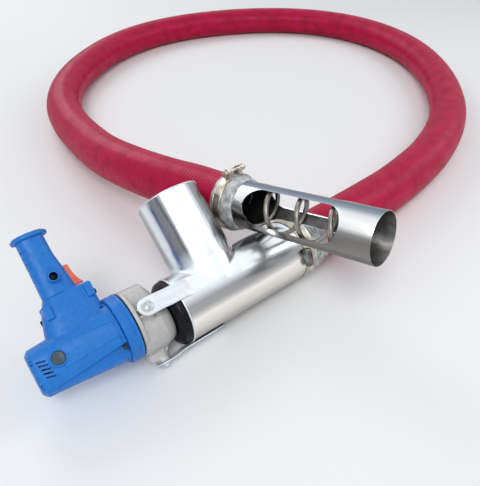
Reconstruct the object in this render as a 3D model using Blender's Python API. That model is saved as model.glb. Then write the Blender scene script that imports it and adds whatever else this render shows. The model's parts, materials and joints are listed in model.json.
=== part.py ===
"""Portable grain auger: a drill motor drives a shaftless spiral through a steel tee and a flexible hose.

All sizes are in metres. The spindle axis lies along X, the discharge tee and the motor share it, and Z is up.
Positions inside the motor are written as (x, along the handle, across the handle).
"""

import math

import bmesh
import bpy
from mathutils import Matrix, Vector

# ---------------------------------------------------------------- driving sizes
GAP = 0.0003  # clearance between neighbouring pieces
BAND_THICKNESS = 0.0014
ORIGIN_X = 0.0379  # where the row's origin lies, measured from the tee's motor-end mouth
ORIGIN_Y = -0.0122

# hose and discharge tee
HOSE_RADIUS = 0.0504
HOSE_SPACING = 0.13
TEE_CUFF_WALL = 0.0063
TEE_WALL = 0.0015
TEE_RADIUS = HOSE_RADIUS + GAP + TEE_CUFF_WALL + GAP + TEE_WALL
TEE_BORE = TEE_RADIUS - TEE_WALL
TEE_LENGTH = 0.277
HOSE_START = TEE_LENGTH - 0.038  # the hose end inside the tee
AXIS_HEIGHT = TEE_RADIUS + GAP + BAND_THICKNESS  # the tee's clamp band rests on the ground
SPOUT_RADIUS = TEE_RADIUS - 0.0004  # a little slimmer, so that it seats on the tee's side
SPOUT_AT = 0.0878  # spout centre from the motor-end mouth
SPOUT_LENGTH = 0.1847  # from the spindle axis to the spout's rim
SPOUT_ROLL = math.radians(39)  # spout direction above the horizontal

# inlet tube: its cuff holds the hose's other end, and the tube lies across the tee
INLET_RADIUS = 0.0445
INLET_WALL = 0.0015
INLET_REST = AXIS_HEIGHT + TEE_RADIUS + INLET_RADIUS
INLET_START = Vector((0.2109, 0.0668, INLET_REST - 0.0138))  # on the inlet axis, at the edge of its cuff
INLET_END = Vector((0.2653, -0.1919, INLET_REST + 0.0415))  # centre of the open mouth
INLET_TUCK = 0.030  # tube length inside the cuff
INLET_CUFF_WALL = 0.0022
WINDOW_ROLL = math.radians(54.4)
WINDOW_FROM = 0.022
WINDOW_TO = 0.214
WINDOW_HALF_WIDTH = 0.0312
WINDOW_COUNT = 3

# spiral
SPIRAL_PITCH = 0.0635
SPIRAL_CLEARANCE = 0.0040  # running clearance inside the inlet tube
SPIRAL_OUTER = INLET_RADIUS - INLET_WALL - SPIRAL_CLEARANCE
SPIRAL_INNER = SPIRAL_OUTER - 0.0070
SPIRAL_STRIP = 0.0090  # strip width along the axis
SPIRAL_STEPS = 16  # facets in one turn

# reduction gear
GEAR_MODULE = 0.001
PINION_TEETH = 9
WHEEL_TEETH = 25
GEAR_ADDENDUM = 0.8
GEAR_DEDENDUM = 1.05
GEAR_PRESSURE = math.radians(25)
GEAR_BACKLASH = 0.00016  # taken from each flank's pitch thickness
MOTOR_OFFSET = GEAR_MODULE * (PINION_TEETH + WHEEL_TEETH) / 2

# end plug, gearbox and motor stations along X
HANDLE_ROLL = math.radians(44)
SPINDLE_RADIUS = 0.0085
PLUG_LENGTH = 0.024
PLUG_STAND_OUT = 0.0168
GEARBOX_LENGTH = 0.0591
GEARBOX_NOSE_END = -PLUG_STAND_OUT - 0.0019
GEARBOX_REAR = GEARBOX_NOSE_END - GEARBOX_LENGTH
GASKET_THICKNESS = 0.0014
FLANGE_LENGTH = 0.0232
FLANGE_FRONT = GEARBOX_REAR - GASKET_THICKNESS - 2 * GAP
FLANGE_REAR = GEARBOX_REAR - FLANGE_LENGTH
FLANGE_RADIUS = 0.0560
HOUSING_LENGTH = 0.1320
HOUSING_REAR = FLANGE_REAR - HOUSING_LENGTH
STRAP_WIDTH = 0.032
STRAP_THICKNESS = 0.0024
STRAP_BOLT_AT = GEARBOX_REAR + 0.0253
STRAP_SHORT = SPOUT_AT - SPOUT_RADIUS - 0.0034  # the outer two stop short of the spout
STRAP_ENDS = (STRAP_SHORT, 0.066, STRAP_SHORT)
STRAP_COUNT = len(STRAP_ENDS)
LUG_FACE = TEE_RADIUS

# handle
GRIP_END = 0.2030
GRIP_HALF_WIDTH = 0.0185
GRIP_WALL = 0.0040
END_CAP_THICKNESS = 0.0060
TRIGGER_BACK = -0.0350  # from the flange's rear face
TRIGGER_TRAVEL = 0.0060
BUTTON_INNER_END = GRIP_HALF_WIDTH - 0.0015
BUTTON_TRAVEL = 0.0025
BUTTON_RADIUS = 0.0062

for old in list(bpy.data.objects):
    bpy.data.objects.remove(old, do_unlink=True)


# ---------------------------------------------------------------- materials
def make_material(name, colour, metallic, roughness):
    material = bpy.data.materials.new(name)
    material.use_nodes = True
    shader = material.node_tree.nodes["Principled BSDF"]
    shader.inputs["Base Color"].default_value = (*colour, 1.0)
    shader.inputs["Metallic"].default_value = metallic
    shader.inputs["Roughness"].default_value = roughness
    material.diffuse_color = (*colour, 1.0)
    return material


MATERIALS = {
    "red_hose": make_material("red_hose", (0.43, 0.03, 0.09), 0.0, 0.42),
    "polished_steel": make_material("polished_steel", (0.72, 0.73, 0.74), 1.0, 0.18),
    "spring_steel": make_material("spring_steel", (0.36, 0.35, 0.33), 1.0, 0.42),
    "zinc_plate": make_material("zinc_plate", (0.56, 0.54, 0.48), 1.0, 0.38),
    "cast_aluminium": make_material("cast_aluminium", (0.55, 0.54, 0.52), 0.6, 0.55),
    "blue_plastic": make_material("blue_plastic", (0.035, 0.21, 0.62), 0.0, 0.38),
    "orange_plastic": make_material("orange_plastic", (0.75, 0.13, 0.06), 0.0, 0.4),
    "black_rubber": make_material("black_rubber", (0.018, 0.018, 0.02), 0.0, 0.55),
    "grey_cuff": make_material("grey_cuff", (0.2, 0.2, 0.2), 0.3, 0.5),
    "copper": make_material("copper", (0.6, 0.26, 0.12), 1.0, 0.35),
    "laminated_iron": make_material("laminated_iron", (0.3, 0.3, 0.31), 1.0, 0.5),
    "carbon": make_material("carbon", (0.03, 0.03, 0.03), 0.0, 0.7),
}


# ---------------------------------------------------------------- frames
def make_frame(name, matrix, parent=None):
    frame = bpy.data.objects.new(name, None)
    bpy.context.collection.objects.link(frame)
    frame.parent = parent
    frame.matrix_local = matrix
    return frame


def axes_matrix(origin, along, up):
    along = along.normalized()
    across = up.cross(along).normalized()
    up = along.cross(across)
    turn = Matrix((along, across, up)).transposed().to_4x4()
    return Matrix.Translation(origin) @ turn


ROOT = make_frame("spindle_frame", Matrix.Translation((-ORIGIN_X, -ORIGIN_Y, AXIS_HEIGHT)))
SPOUT = make_frame("spout_frame", Matrix.Rotation(SPOUT_ROLL, 4, "X"), ROOT)
DRIVE = make_frame("drive_frame", Matrix.Rotation(HANDLE_ROLL, 4, "X"), ROOT)
ARMATURE = make_frame("armature_frame", Matrix.Translation((0, MOTOR_OFFSET, 0)), DRIVE)
HANDLE = make_frame("handle_frame", Matrix.Translation((FLANGE_REAR, 0, 0)), DRIVE)

INLET_LENGTH = (INLET_END - INLET_START).length
INLET_ALONG = (INLET_END - INLET_START).normalized()
INLET_UP = (Vector((0, 0, 1)) - INLET_ALONG * INLET_ALONG.z).normalized()
INLET_FACE = Matrix.Rotation(WINDOW_ROLL, 3, INLET_ALONG) @ INLET_UP
INLET_FACE_OTHER = Matrix.Rotation(-WINDOW_ROLL, 3, INLET_ALONG) @ INLET_UP
if INLET_FACE_OTHER.x < INLET_FACE.x:
    INLET_FACE = INLET_FACE_OTHER
INLET = make_frame(
    "inlet_frame",
    axes_matrix(INLET_START - Vector((0, 0, AXIS_HEIGHT)), INLET_ALONG, INLET_FACE),
    ROOT,
)


# ---------------------------------------------------------------- shape helpers
def finish(name, shape, material, parent, place=None):
    """Turns a bmesh into a named object with one material."""
    bmesh.ops.recalc_face_normals(shape, faces=shape.faces)
    mesh = bpy.data.meshes.new(name)
    shape.to_mesh(mesh)
    shape.free()
    piece = bpy.data.objects.new(name, mesh)
    bpy.context.collection.objects.link(piece)
    piece.parent = parent
    if place is not None:
        piece.matrix_local = place
    if material:
        mesh.materials.append(MATERIALS[material])
    mesh.shade_smooth()
    mesh.set_sharp_from_angle(angle=math.radians(32))
    return piece


def ring_points(x, radius, sides, turn=0.0):
    return [
        (x, radius * math.cos(turn + math.tau * i / sides), radius * math.sin(turn + math.tau * i / sides))
        for i in range(sides)
    ]


def turned_shape(outline, sides, closed, turn=0.0):
    """Turns an outline of (x, radius) about X. A closed outline makes a ring, an open one ends on the axis."""
    shape = bmesh.new()
    rings = []
    for x, radius in outline:
        if radius == 0:
            rings.append([shape.verts.new((x, 0, 0))])
        else:
            rings.append([shape.verts.new(point) for point in ring_points(x, radius, sides, turn)])
    pairs = list(zip(rings, rings[1:]))
    if closed:
        pairs.append((rings[-1], rings[0]))
    for first, second in pairs:
        for i in range(sides):
            j = (i + 1) % sides
            corners = [first[i % len(first)], first[j % len(first)]]
            corners += [second[j % len(second)], second[i % len(second)]]
            shape.faces.new(list(dict.fromkeys(corners)))
    return shape


def turned(name, outline, material, parent, sides=32, closed=True, place=None, turn=0.0):
    return finish(name, turned_shape(outline, sides, closed, turn), material, parent, place)


def tube(name, x0, x1, inner, outer, material, parent, sides=32, place=None, turn=0.0):
    outline = [(x0, outer), (x1, outer), (x1, inner), (x0, inner)]
    return turned(name, outline, material, parent, sides, True, place, turn)


def rod(name, x0, x1, radius, material, parent, sides=32, place=None, turn=0.0):
    outline = [(x0, 0), (x0, radius), (x1, radius), (x1, 0)]
    return turned(name, outline, material, parent, sides, False, place, turn)


def box(name, low, high, material, parent, bevel=0.0, place=None):
    shape = bmesh.new()
    bmesh.ops.create_cube(shape, size=1.0)
    for vert in shape.verts:
        vert.co = Vector(low[k] + (vert.co[k] + 0.5) * (high[k] - low[k]) for k in range(3))
    if bevel:
        bmesh.ops.bevel(shape, geom=shape.edges[:], offset=bevel, segments=1, affect="EDGES", profile=0.5)
    return finish(name, shape, material, parent, place)


def prism(name, outline, low, high, axis, material, parent, place=None):
    """Extrudes a flat outline along X, Y or Z (axis 0, 1 or 2) from low to high."""
    shape = bmesh.new()
    others = [k for k in range(3) if k != axis]
    loops = []
    for level in (low, high):
        loop = []
        for a, b in outline:
            point = [0.0, 0.0, 0.0]
            point[axis], point[others[0]], point[others[1]] = level, a, b
            loop.append(shape.verts.new(point))
        loops.append(loop)
    count = len(outline)
    shape.faces.new(loops[0])
    shape.faces.new(loops[1])
    for i in range(count):
        j = (i + 1) % count
        shape.faces.new([loops[0][i], loops[0][j], loops[1][j], loops[1][i]])
    return finish(name, shape, material, parent, place)


def loft(name, sections, axis, material, parent, sides=24, place=None):
    """Joins rounded sections (level, centre a, centre b, half a, half b, squareness) along an axis."""
    shape = bmesh.new()
    others = [k for k in range(3) if k != axis]
    loops = []
    for level, mid_a, mid_b, half_a, half_b, square in sections:
        loop = []
        for i in range(sides):
            angle = math.tau * (i + 0.5) / sides
            c, s = math.cos(angle), math.sin(angle)
            point = [0.0, 0.0, 0.0]
            point[axis] = level
            point[others[0]] = mid_a + half_a * math.copysign(abs(c) ** (2 / square), c)
            point[others[1]] = mid_b + half_b * math.copysign(abs(s) ** (2 / square), s)
            loop.append(shape.verts.new(point))
        loops.append(loop)
    shape.faces.new(loops[0])
    shape.faces.new(loops[-1])
    for first, second in zip(loops, loops[1:]):
        for i in range(sides):
            j = (i + 1) % sides
            shape.faces.new([first[i], first[j], second[j], second[i]])
    return finish(name, shape, material, parent, place)


def combine(piece, other, operation):
    """Adds a Boolean with a hidden helper shape."""
    other.hide_render = True
    other.display_type = "WIRE"
    modifier = piece.modifiers.new(operation.lower(), "BOOLEAN")
    modifier.operation = operation
    modifier.solver = "EXACT"
    modifier.object = other


def cut(piece, *others):
    for other in others:
        combine(piece, other, "DIFFERENCE")


def join(piece, *others):
    for other in others:
        combine(piece, other, "UNION")


def rounded_slot(length, half_width, steps=4):
    """Outline of a slot with round ends, centred on the origin and running along its first axis."""
    reach = length / 2 - half_width
    points = []
    for side in (1, -1):
        for i in range(steps + 1):
            angle = math.pi * (i / steps - 0.5)
            along = reach + half_width * math.cos(angle)
            points.append((side * along, side * half_width * math.sin(angle)))
    return points


def roll_about_x(angle):
    return Matrix.Rotation(angle, 4, "X")


# local X of a turned piece laid along the frame's Y or Z
ALONG_Y = Matrix.Rotation(math.pi / 2, 4, "Z")
ALONG_Z = Matrix.Rotation(-math.pi / 2, 4, "Y")


# ---------------------------------------------------------------- tee
def make_tee():
    tee = rod("tee_tube", 0, TEE_LENGTH, TEE_RADIUS, "polished_steel", SPOUT, 40)
    at_spout = Matrix.Translation((SPOUT_AT, 0, 0)) @ ALONG_Y
    spout = rod("tee_spout_outer", 0, SPOUT_LENGTH, SPOUT_RADIUS, None, SPOUT, 40, at_spout)
    bore = rod("tee_bore", -0.01, TEE_LENGTH + 0.01, TEE_RADIUS - TEE_WALL, None, SPOUT, 40)
    spout_bore = rod(
        "tee_spout_bore", 0, SPOUT_LENGTH + 0.01, SPOUT_RADIUS - TEE_WALL, None, SPOUT, 40, at_spout,
    )
    join(tee, spout)
    cut(tee, bore, spout_bore)


CUFF_START = TEE_LENGTH - 0.044
CUFF_LIP = TEE_LENGTH + 0.027
BAND_WIDTH = 0.024


def make_tee_end():
    """Cuff around the hose end inside the tee, and the worm-drive clamp over the joint."""
    inner = HOSE_RADIUS + GAP
    outline = [
        (CUFF_START, inner),
        (CUFF_LIP, inner),
        (CUFF_LIP, inner + 0.0030),
        (CUFF_LIP - 0.0030, TEE_RADIUS - 0.0025),
        (TEE_LENGTH + GAP, TEE_RADIUS),
        (TEE_LENGTH + GAP, TEE_BORE - GAP),
        (CUFF_START, TEE_BORE - GAP),
    ]
    turned("tee_cuff", outline, "grey_cuff", ROOT, 32)
    low = TEE_RADIUS + GAP
    band_mid = TEE_LENGTH - BAND_WIDTH / 2 - 0.002
    band_from, band_to = band_mid - BAND_WIDTH / 2, band_mid + BAND_WIDTH / 2
    tube("tee_clamp_band", band_from, band_to, low, low + BAND_THICKNESS, "zinc_plate", ROOT, 36)
    seat = low + BAND_THICKNESS + GAP
    worm = roll_about_x(math.radians(68))
    case_half = 0.0140
    case = box(
        "tee_clamp_housing",
        (band_from + 0.002, -case_half, seat),
        (band_to - 0.002, case_half, seat + 0.0105),
        "zinc_plate",
        ROOT,
        0.002,
        worm,
    )
    screw_at = Matrix.Translation((band_mid, 0, seat + 0.0056)) @ ALONG_Y
    hole = rod(
        "tee_clamp_hole", -case_half - 0.01, case_half + 0.01, 0.0038, None, ROOT, 12, worm @ screw_at,
    )
    cut(case, hole)
    screw = rod(
        "tee_clamp_screw",
        -case_half - 0.004,
        case_half + 0.002,
        0.0035,
        "zinc_plate",
        ROOT,
        12,
        worm @ screw_at,
    )
    head = rod(
        "tee_clamp_head", -case_half - 0.009, -case_half - 0.0015, 0.0052, None, ROOT, 6, worm @ screw_at,
    )
    join(screw, head)


# ---------------------------------------------------------------- hose
def hose_route():
    """The hose leaves the tee, lies on the ground in one loop and climbs to the inlet's cuff."""
    ground = HOSE_RADIUS + GAP
    turn_in = INLET_START - INLET_ALONG * (INLET_TUCK + GAP)
    points = [
        (HOSE_START, 0.0, AXIS_HEIGHT),
        (HOSE_START + 0.070, 0.0, AXIS_HEIGHT),
        (0.410, 0.004, 0.058),
        (0.500, 0.011, 0.054),
        (0.600, 0.020, ground),
        (0.700, 0.035, ground),
        (0.800, 0.057, ground),
        (0.929, 0.103, ground),
        (1.045, 0.163, ground),
        (1.148, 0.239, ground),
        (1.240, 0.325, ground),
        (1.323, 0.422, ground),
        (1.395, 0.532, ground),
        (1.449, 0.659, ground),
        (1.475, 0.800, ground),
        (1.462, 0.947, ground),
        (1.405, 1.085, ground),
        (1.309, 1.199, ground),
        (1.190, 1.284, ground),
        (1.058, 1.344, ground),
        (0.921, 1.378, ground),
        (0.781, 1.382, ground),
        (0.646, 1.354, ground),
        (0.522, 1.297, ground),
        (0.414, 1.221, ground),
        (0.318, 1.131, ground),
        (0.239, 1.025, ground),
        (0.183, 0.905, 0.0520),
        (0.153, 0.775, 0.0580),
        (0.138, 0.640, 0.0700),
        (0.130, 0.510, 0.0870),
        (0.139, 0.390, 0.1040),
        (0.161, 0.280, 0.1170),
        (0.182, 0.200, 0.1277),
    ]
    route = [Vector(point) for point in points]
    for back in (0.045, 0.0):
        route.append(turn_in - INLET_ALONG * back)
    return route


def smooth_points(route, spacing):
    """Points at even steps along a curve that passes through every point of the route."""
    ends = [route[0] * 2 - route[1]] + route + [route[-1] * 2 - route[-2]]
    fine = []
    for p0, p1, p2, p3 in zip(ends, ends[1:], ends[2:], ends[3:]):
        for i in range(16):
            t = i / 16
            a = p1 * 2 + (p2 - p0) * t
            b = (p0 * 2 - p1 * 5 + p2 * 4 - p3) * t * t
            c = (p1 * 3 - p0 - p2 * 3 + p3) * t * t * t
            fine.append((a + b + c) * 0.5)
    fine.append(route[-1])
    lengths = [0.0]
    for first, second in zip(fine, fine[1:]):
        lengths.append(lengths[-1] + (second - first).length)
    count = round(lengths[-1] / spacing)
    points = []
    at = 0
    for i in range(count + 1):
        want = lengths[-1] * i / count
        while at < len(fine) - 2 and lengths[at + 1] < want:
            at += 1
        share = (want - lengths[at]) / (lengths[at + 1] - lengths[at])
        points.append(fine[at].lerp(fine[at + 1], share))
    return points


def make_hose():
    route = hose_route()
    points = [route[0]] + smooth_points(route[1:-1], HOSE_SPACING) + [route[-1]]
    curve = bpy.data.curves.new("hose", "CURVE")
    curve.dimensions = "3D"
    curve.bevel_depth = HOSE_RADIUS
    curve.bevel_resolution = 4
    curve.use_fill_caps = True
    spline = curve.splines.new("POLY")
    spline.points.add(len(points) - 1)
    for slot, point in zip(spline.points, points):
        slot.co = (*point, 1.0)
    hose = bpy.data.objects.new("hose", curve)
    hose.location = (-ORIGIN_X, -ORIGIN_Y, 0)
    bpy.context.collection.objects.link(hose)
    curve.materials.append(MATERIALS["red_hose"])


# ---------------------------------------------------------------- inlet
INLET_CUFF_BACK = 0.047
INLET_BAND_FROM = -0.041
INLET_BAND_TO = -0.021


def make_inlet():
    tube_piece = tube(
        "inlet_tube",
        -INLET_TUCK,
        INLET_LENGTH,
        INLET_RADIUS - INLET_WALL,
        INLET_RADIUS,
        "polished_steel",
        INLET,
        40,
        turn=math.tau / 80,
    )
    length = WINDOW_TO - WINDOW_FROM
    middle = (WINDOW_FROM + WINDOW_TO) / 2
    for i in range(WINDOW_COUNT):
        place = roll_about_x(math.tau * i / WINDOW_COUNT) @ Matrix.Translation((middle, 0, 0))
        outline = rounded_slot(length, WINDOW_HALF_WIDTH)
        window = prism(f"window_cutter_{i}", outline, 0.004, INLET_RADIUS * 1.3, 2, None, INLET, place)
        cut(tube_piece, window)
    over_hose = HOSE_RADIUS + GAP
    over_tube = INLET_RADIUS + GAP
    widest = max(over_hose, over_tube) + INLET_CUFF_WALL
    outline = [
        (-INLET_CUFF_BACK, over_hose),
        (-INLET_CUFF_BACK, over_hose + INLET_CUFF_WALL),
        (INLET_BAND_TO + 0.001, over_hose + INLET_CUFF_WALL),
        (INLET_BAND_TO + 0.003, widest),
        (-0.024, widest),
        (0.0, over_tube + 0.0034),
        (0.0, over_tube),
        (-INLET_TUCK - GAP / 2, over_tube),
        (-INLET_TUCK - GAP / 2, over_hose),
    ]
    turned("inlet_cuff", outline, "grey_cuff", INLET, 32)


def make_inlet_clamp():
    """T-bolt band clamp: a flat band with two loops, a bolt through them, a trunnion block and a nut."""
    low = HOSE_RADIUS + GAP + INLET_CUFF_WALL + GAP
    top = low + BAND_THICKNESS
    band = rod("inlet_clamp_band", INLET_BAND_FROM, INLET_BAND_TO, top, "zinc_plate", INLET, 36)
    gap_half = 0.0085
    notch = box(
        "inlet_band_gap",
        (INLET_BAND_FROM - 0.01, -gap_half - 0.002, low - 0.01),
        (INLET_BAND_TO + 0.01, gap_half + 0.002, top + 0.01),
        None,
        INLET,
        0,
        CLAMP_TURN,
    )
    cut(band, notch)
    middle = (INLET_BAND_FROM + INLET_BAND_TO) / 2
    inset = 0.0004
    for side, name in ((-1, "a"), (1, "b")):
        ear = box(
            f"inlet_band_ear_{name}",
            (INLET_BAND_FROM + inset, side * (gap_half + 0.0045) - 0.0045, low - 0.0060),
            (INLET_BAND_TO - inset, side * (gap_half + 0.0045) + 0.0045, low + 0.0120),
            None,
            INLET,
            0.0015,
            CLAMP_TURN,
        )
        join(band, ear)
    bolt_place = CLAMP_TURN @ Matrix.Translation((middle, 0, low + 0.0072)) @ ALONG_Y
    hole = rod("inlet_bolt_hole", -0.03, 0.03, 0.0033, None, INLET, 12, bolt_place)
    room = rod("inlet_band_room", INLET_BAND_FROM - 0.01, INLET_BAND_TO + 0.01, low, None, INLET, 36)
    cut(band, room, hole)
    reach = gap_half + 0.009
    bolt = rod(
        "inlet_clamp_bolt", -reach - 0.001, reach + 0.017, 0.0029, "zinc_plate", INLET, 12, bolt_place,
    )
    head = rod("inlet_bolt_head", -reach - 0.0058, -reach - GAP, 0.0058, None, INLET, 6, bolt_place)
    join(bolt, head)
    tube(
        "inlet_clamp_trunnion",
        reach + GAP,
        reach + 0.0070,
        0.0033,
        0.0066,
        "zinc_plate",
        INLET,
        10,
        bolt_place,
    )
    tube(
        "inlet_clamp_nut",
        reach + 0.0073,
        reach + 0.0130,
        0.0037,
        0.0058,
        "zinc_plate",
        INLET,
        6,
        bolt_place,
    )


CLAMP_TURN = roll_about_x(math.radians(-62))


# ---------------------------------------------------------------- spirals
def spiral(name, x0, x1, phase_x, phase_angle, parent):
    """Right-hand flat-strip spiral. It crosses phase_angle at station phase_x."""
    turns = (x1 - x0 - SPIRAL_STRIP) / SPIRAL_PITCH
    steps = round(turns * SPIRAL_STEPS)
    shape = bmesh.new()
    rings = []
    for i in range(steps + 1):
        mid = x0 + SPIRAL_STRIP / 2 + (x1 - x0 - SPIRAL_STRIP) * i / steps
        angle = phase_angle + math.tau * (mid - phase_x) / SPIRAL_PITCH
        ring = []
        corners = ((SPIRAL_INNER, -0.5), (SPIRAL_OUTER, -0.5), (SPIRAL_OUTER, 0.5), (SPIRAL_INNER, 0.5))
        for radius, shift in corners:
            point = (mid + shift * SPIRAL_STRIP, radius * math.cos(angle), radius * math.sin(angle))
            ring.append(shape.verts.new(point))
        rings.append(ring)
    shape.faces.new(rings[0])
    shape.faces.new(rings[-1])
    for first, second in zip(rings, rings[1:]):
        for i in range(4):
            j = (i + 1) % 4
            shape.faces.new([first[i], first[j], second[j], second[i]])
    return finish(name, shape, "spring_steel", parent)


HUB_PLATE_FROM = PLUG_LENGTH + 0.0050
HUB_PLATE_TO = HUB_PLATE_FROM + 0.0055


def make_spirals():
    spiral("tee_spiral", HUB_PLATE_TO + GAP, HOSE_START - GAP, 0.06, 0.0, DRIVE)
    spiral("inlet_spiral", -INLET_TUCK, WINDOW_TO + 0.004, 0.0690, math.pi / 2, INLET)


# ---------------------------------------------------------------- gears
def tooth_outline(teeth, pitch_radius):
    """Involute outline of a spur gear, one tooth centred on angle zero."""
    base = pitch_radius * math.cos(GEAR_PRESSURE)
    tip = pitch_radius + GEAR_ADDENDUM * GEAR_MODULE
    root = pitch_radius - GEAR_DEDENDUM * GEAR_MODULE
    start = max(base, root + 0.00002)
    half_at_pitch = math.pi / (2 * teeth) - GEAR_BACKLASH / pitch_radius

    def flank_angle(radius):
        pressure = math.acos(min(1.0, base / radius))
        reference = math.tan(GEAR_PRESSURE) - GEAR_PRESSURE
        return half_at_pitch + reference - (math.tan(pressure) - pressure)

    points = []
    for tooth in range(teeth):
        middle = math.tau * tooth / teeth
        foot = flank_angle(start)
        flank = [(start + (tip - start) * k / 3) for k in range(4)]
        points.append((root, middle - foot))
        points += [(radius, middle - flank_angle(radius)) for radius in flank]
        points += [(radius, middle + flank_angle(radius)) for radius in reversed(flank)]
        points.append((root, middle + foot))
    return points


def spur_gear(name, teeth, x0, x1, bore, turn, parent):
    pitch_radius = GEAR_MODULE * teeth / 2
    outline = tooth_outline(teeth, pitch_radius)
    shape = bmesh.new()
    loops = []
    for x in (x0, x1):
        outer = []
        inner = []
        for k, (radius, angle) in enumerate(outline):
            across, up = math.cos(angle + turn), math.sin(angle + turn)
            outer.append(shape.verts.new((x, radius * across, radius * up)))
            if k % 5 == 0:
                inner.append(shape.verts.new((x, bore * across, bore * up)))
        loops.append((outer, inner))
    count = len(outline)
    inner_count = len(loops[0][1])
    for outer, inner in loops:
        for k in range(inner_count):
            nxt = (k + 1) % inner_count
            arc = [outer[(5 * k + m) % count] for m in range(6)]
            shape.faces.new(arc + [inner[nxt], inner[k]])
    for i in range(count):
        j = (i + 1) % count
        shape.faces.new([loops[0][0][i], loops[0][0][j], loops[1][0][j], loops[1][0][i]])
    for i in range(inner_count):
        j = (i + 1) % inner_count
        shape.faces.new([loops[0][1][i], loops[0][1][j], loops[1][1][j], loops[1][1][i]])
    return finish(name, shape, "laminated_iron", parent)


WHEEL_FROM, WHEEL_TO = GEARBOX_REAR + 0.0123, GEARBOX_REAR + 0.0208
PINION_FROM, PINION_TO = WHEEL_FROM - 0.0010, WHEEL_TO + 0.0010
PLATE_FROM, PLATE_TO = GEARBOX_REAR, GEARBOX_REAR + 0.0078
FRONT_BEARING_FROM, FRONT_BEARING_TO = WHEEL_TO + 0.0100, GEARBOX_NOSE_END - 0.0033
FRONT_BEARING_RADIUS = 0.0175
CAVITY_RADIUS = 0.0290
TAIL_RADIUS = 0.0045
TAIL_BEARING = 0.0082
ARMATURE_SHAFT = 0.0040
ARMATURE_BEARING = 0.0105
ARM_BEARING_FROM, ARM_BEARING_TO = FLANGE_FRONT - 0.0110, FLANGE_FRONT - 0.0035


def make_gear_train():
    # a tooth of the pinion points at a space of the wheel: the wheel is turned half a tooth
    spur_gear("output_gear", WHEEL_TEETH, WHEEL_FROM, WHEEL_TO, 0.0062, math.pi / WHEEL_TEETH, DRIVE)
    spur_gear("armature_pinion", PINION_TEETH, PINION_FROM, PINION_TO, 0.0026, math.pi, ARMATURE)


def make_spindle():
    outline = [
        (PLATE_FROM + 0.001, 0),
        (PLATE_FROM + 0.001, TAIL_RADIUS),
        (WHEEL_FROM - GAP * 4, TAIL_RADIUS),
        (WHEEL_FROM - GAP * 4, 0.0059),
        (WHEEL_TO + GAP, 0.0059),
        (WHEEL_TO + GAP, SPINDLE_RADIUS + 0.0015),
        (FRONT_BEARING_FROM - GAP, SPINDLE_RADIUS + 0.0015),
        (FRONT_BEARING_FROM - GAP, SPINDLE_RADIUS),
        (HUB_PLATE_TO - 0.002, SPINDLE_RADIUS),
        (HUB_PLATE_TO - 0.002, 0),
    ]
    turned("spindle", outline, "spring_steel", DRIVE, 20, closed=False)
    tube(
        "spindle_tail_bearing",
        PLATE_FROM + 0.0012,
        PLATE_TO - 0.0002,
        TAIL_RADIUS + GAP,
        TAIL_BEARING,
        "spring_steel",
        DRIVE,
        18,
    )
    tube(
        "spindle_bearing",
        FRONT_BEARING_FROM,
        FRONT_BEARING_TO,
        SPINDLE_RADIUS + GAP,
        FRONT_BEARING_RADIUS,
        "spring_steel",
        DRIVE,
        24,
    )
    bore = SPINDLE_RADIUS + GAP
    outline = [
        (HUB_PLATE_FROM, SPIRAL_OUTER),
        (HUB_PLATE_TO, SPIRAL_OUTER),
        (HUB_PLATE_TO, bore),
        (HUB_PLATE_FROM - 0.003, bore),
        (HUB_PLATE_FROM - 0.003, 0.016),
        (HUB_PLATE_FROM, 0.018),
    ]
    turned("drive_hub", outline, "laminated_iron", DRIVE, 28)
    rod(
        "hub_screw",
        HUB_PLATE_TO - 0.002 + GAP,
        HUB_PLATE_TO + 0.005,
        SPINDLE_RADIUS - 0.0015,
        "zinc_plate",
        DRIVE,
        6,
    )


# ---------------------------------------------------------------- gearbox
def lug_turn(i):
    """The three strap lugs stand at even angles, the first above the side that faces out."""
    return roll_about_x(math.radians(60) + math.tau * i / STRAP_COUNT)


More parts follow.
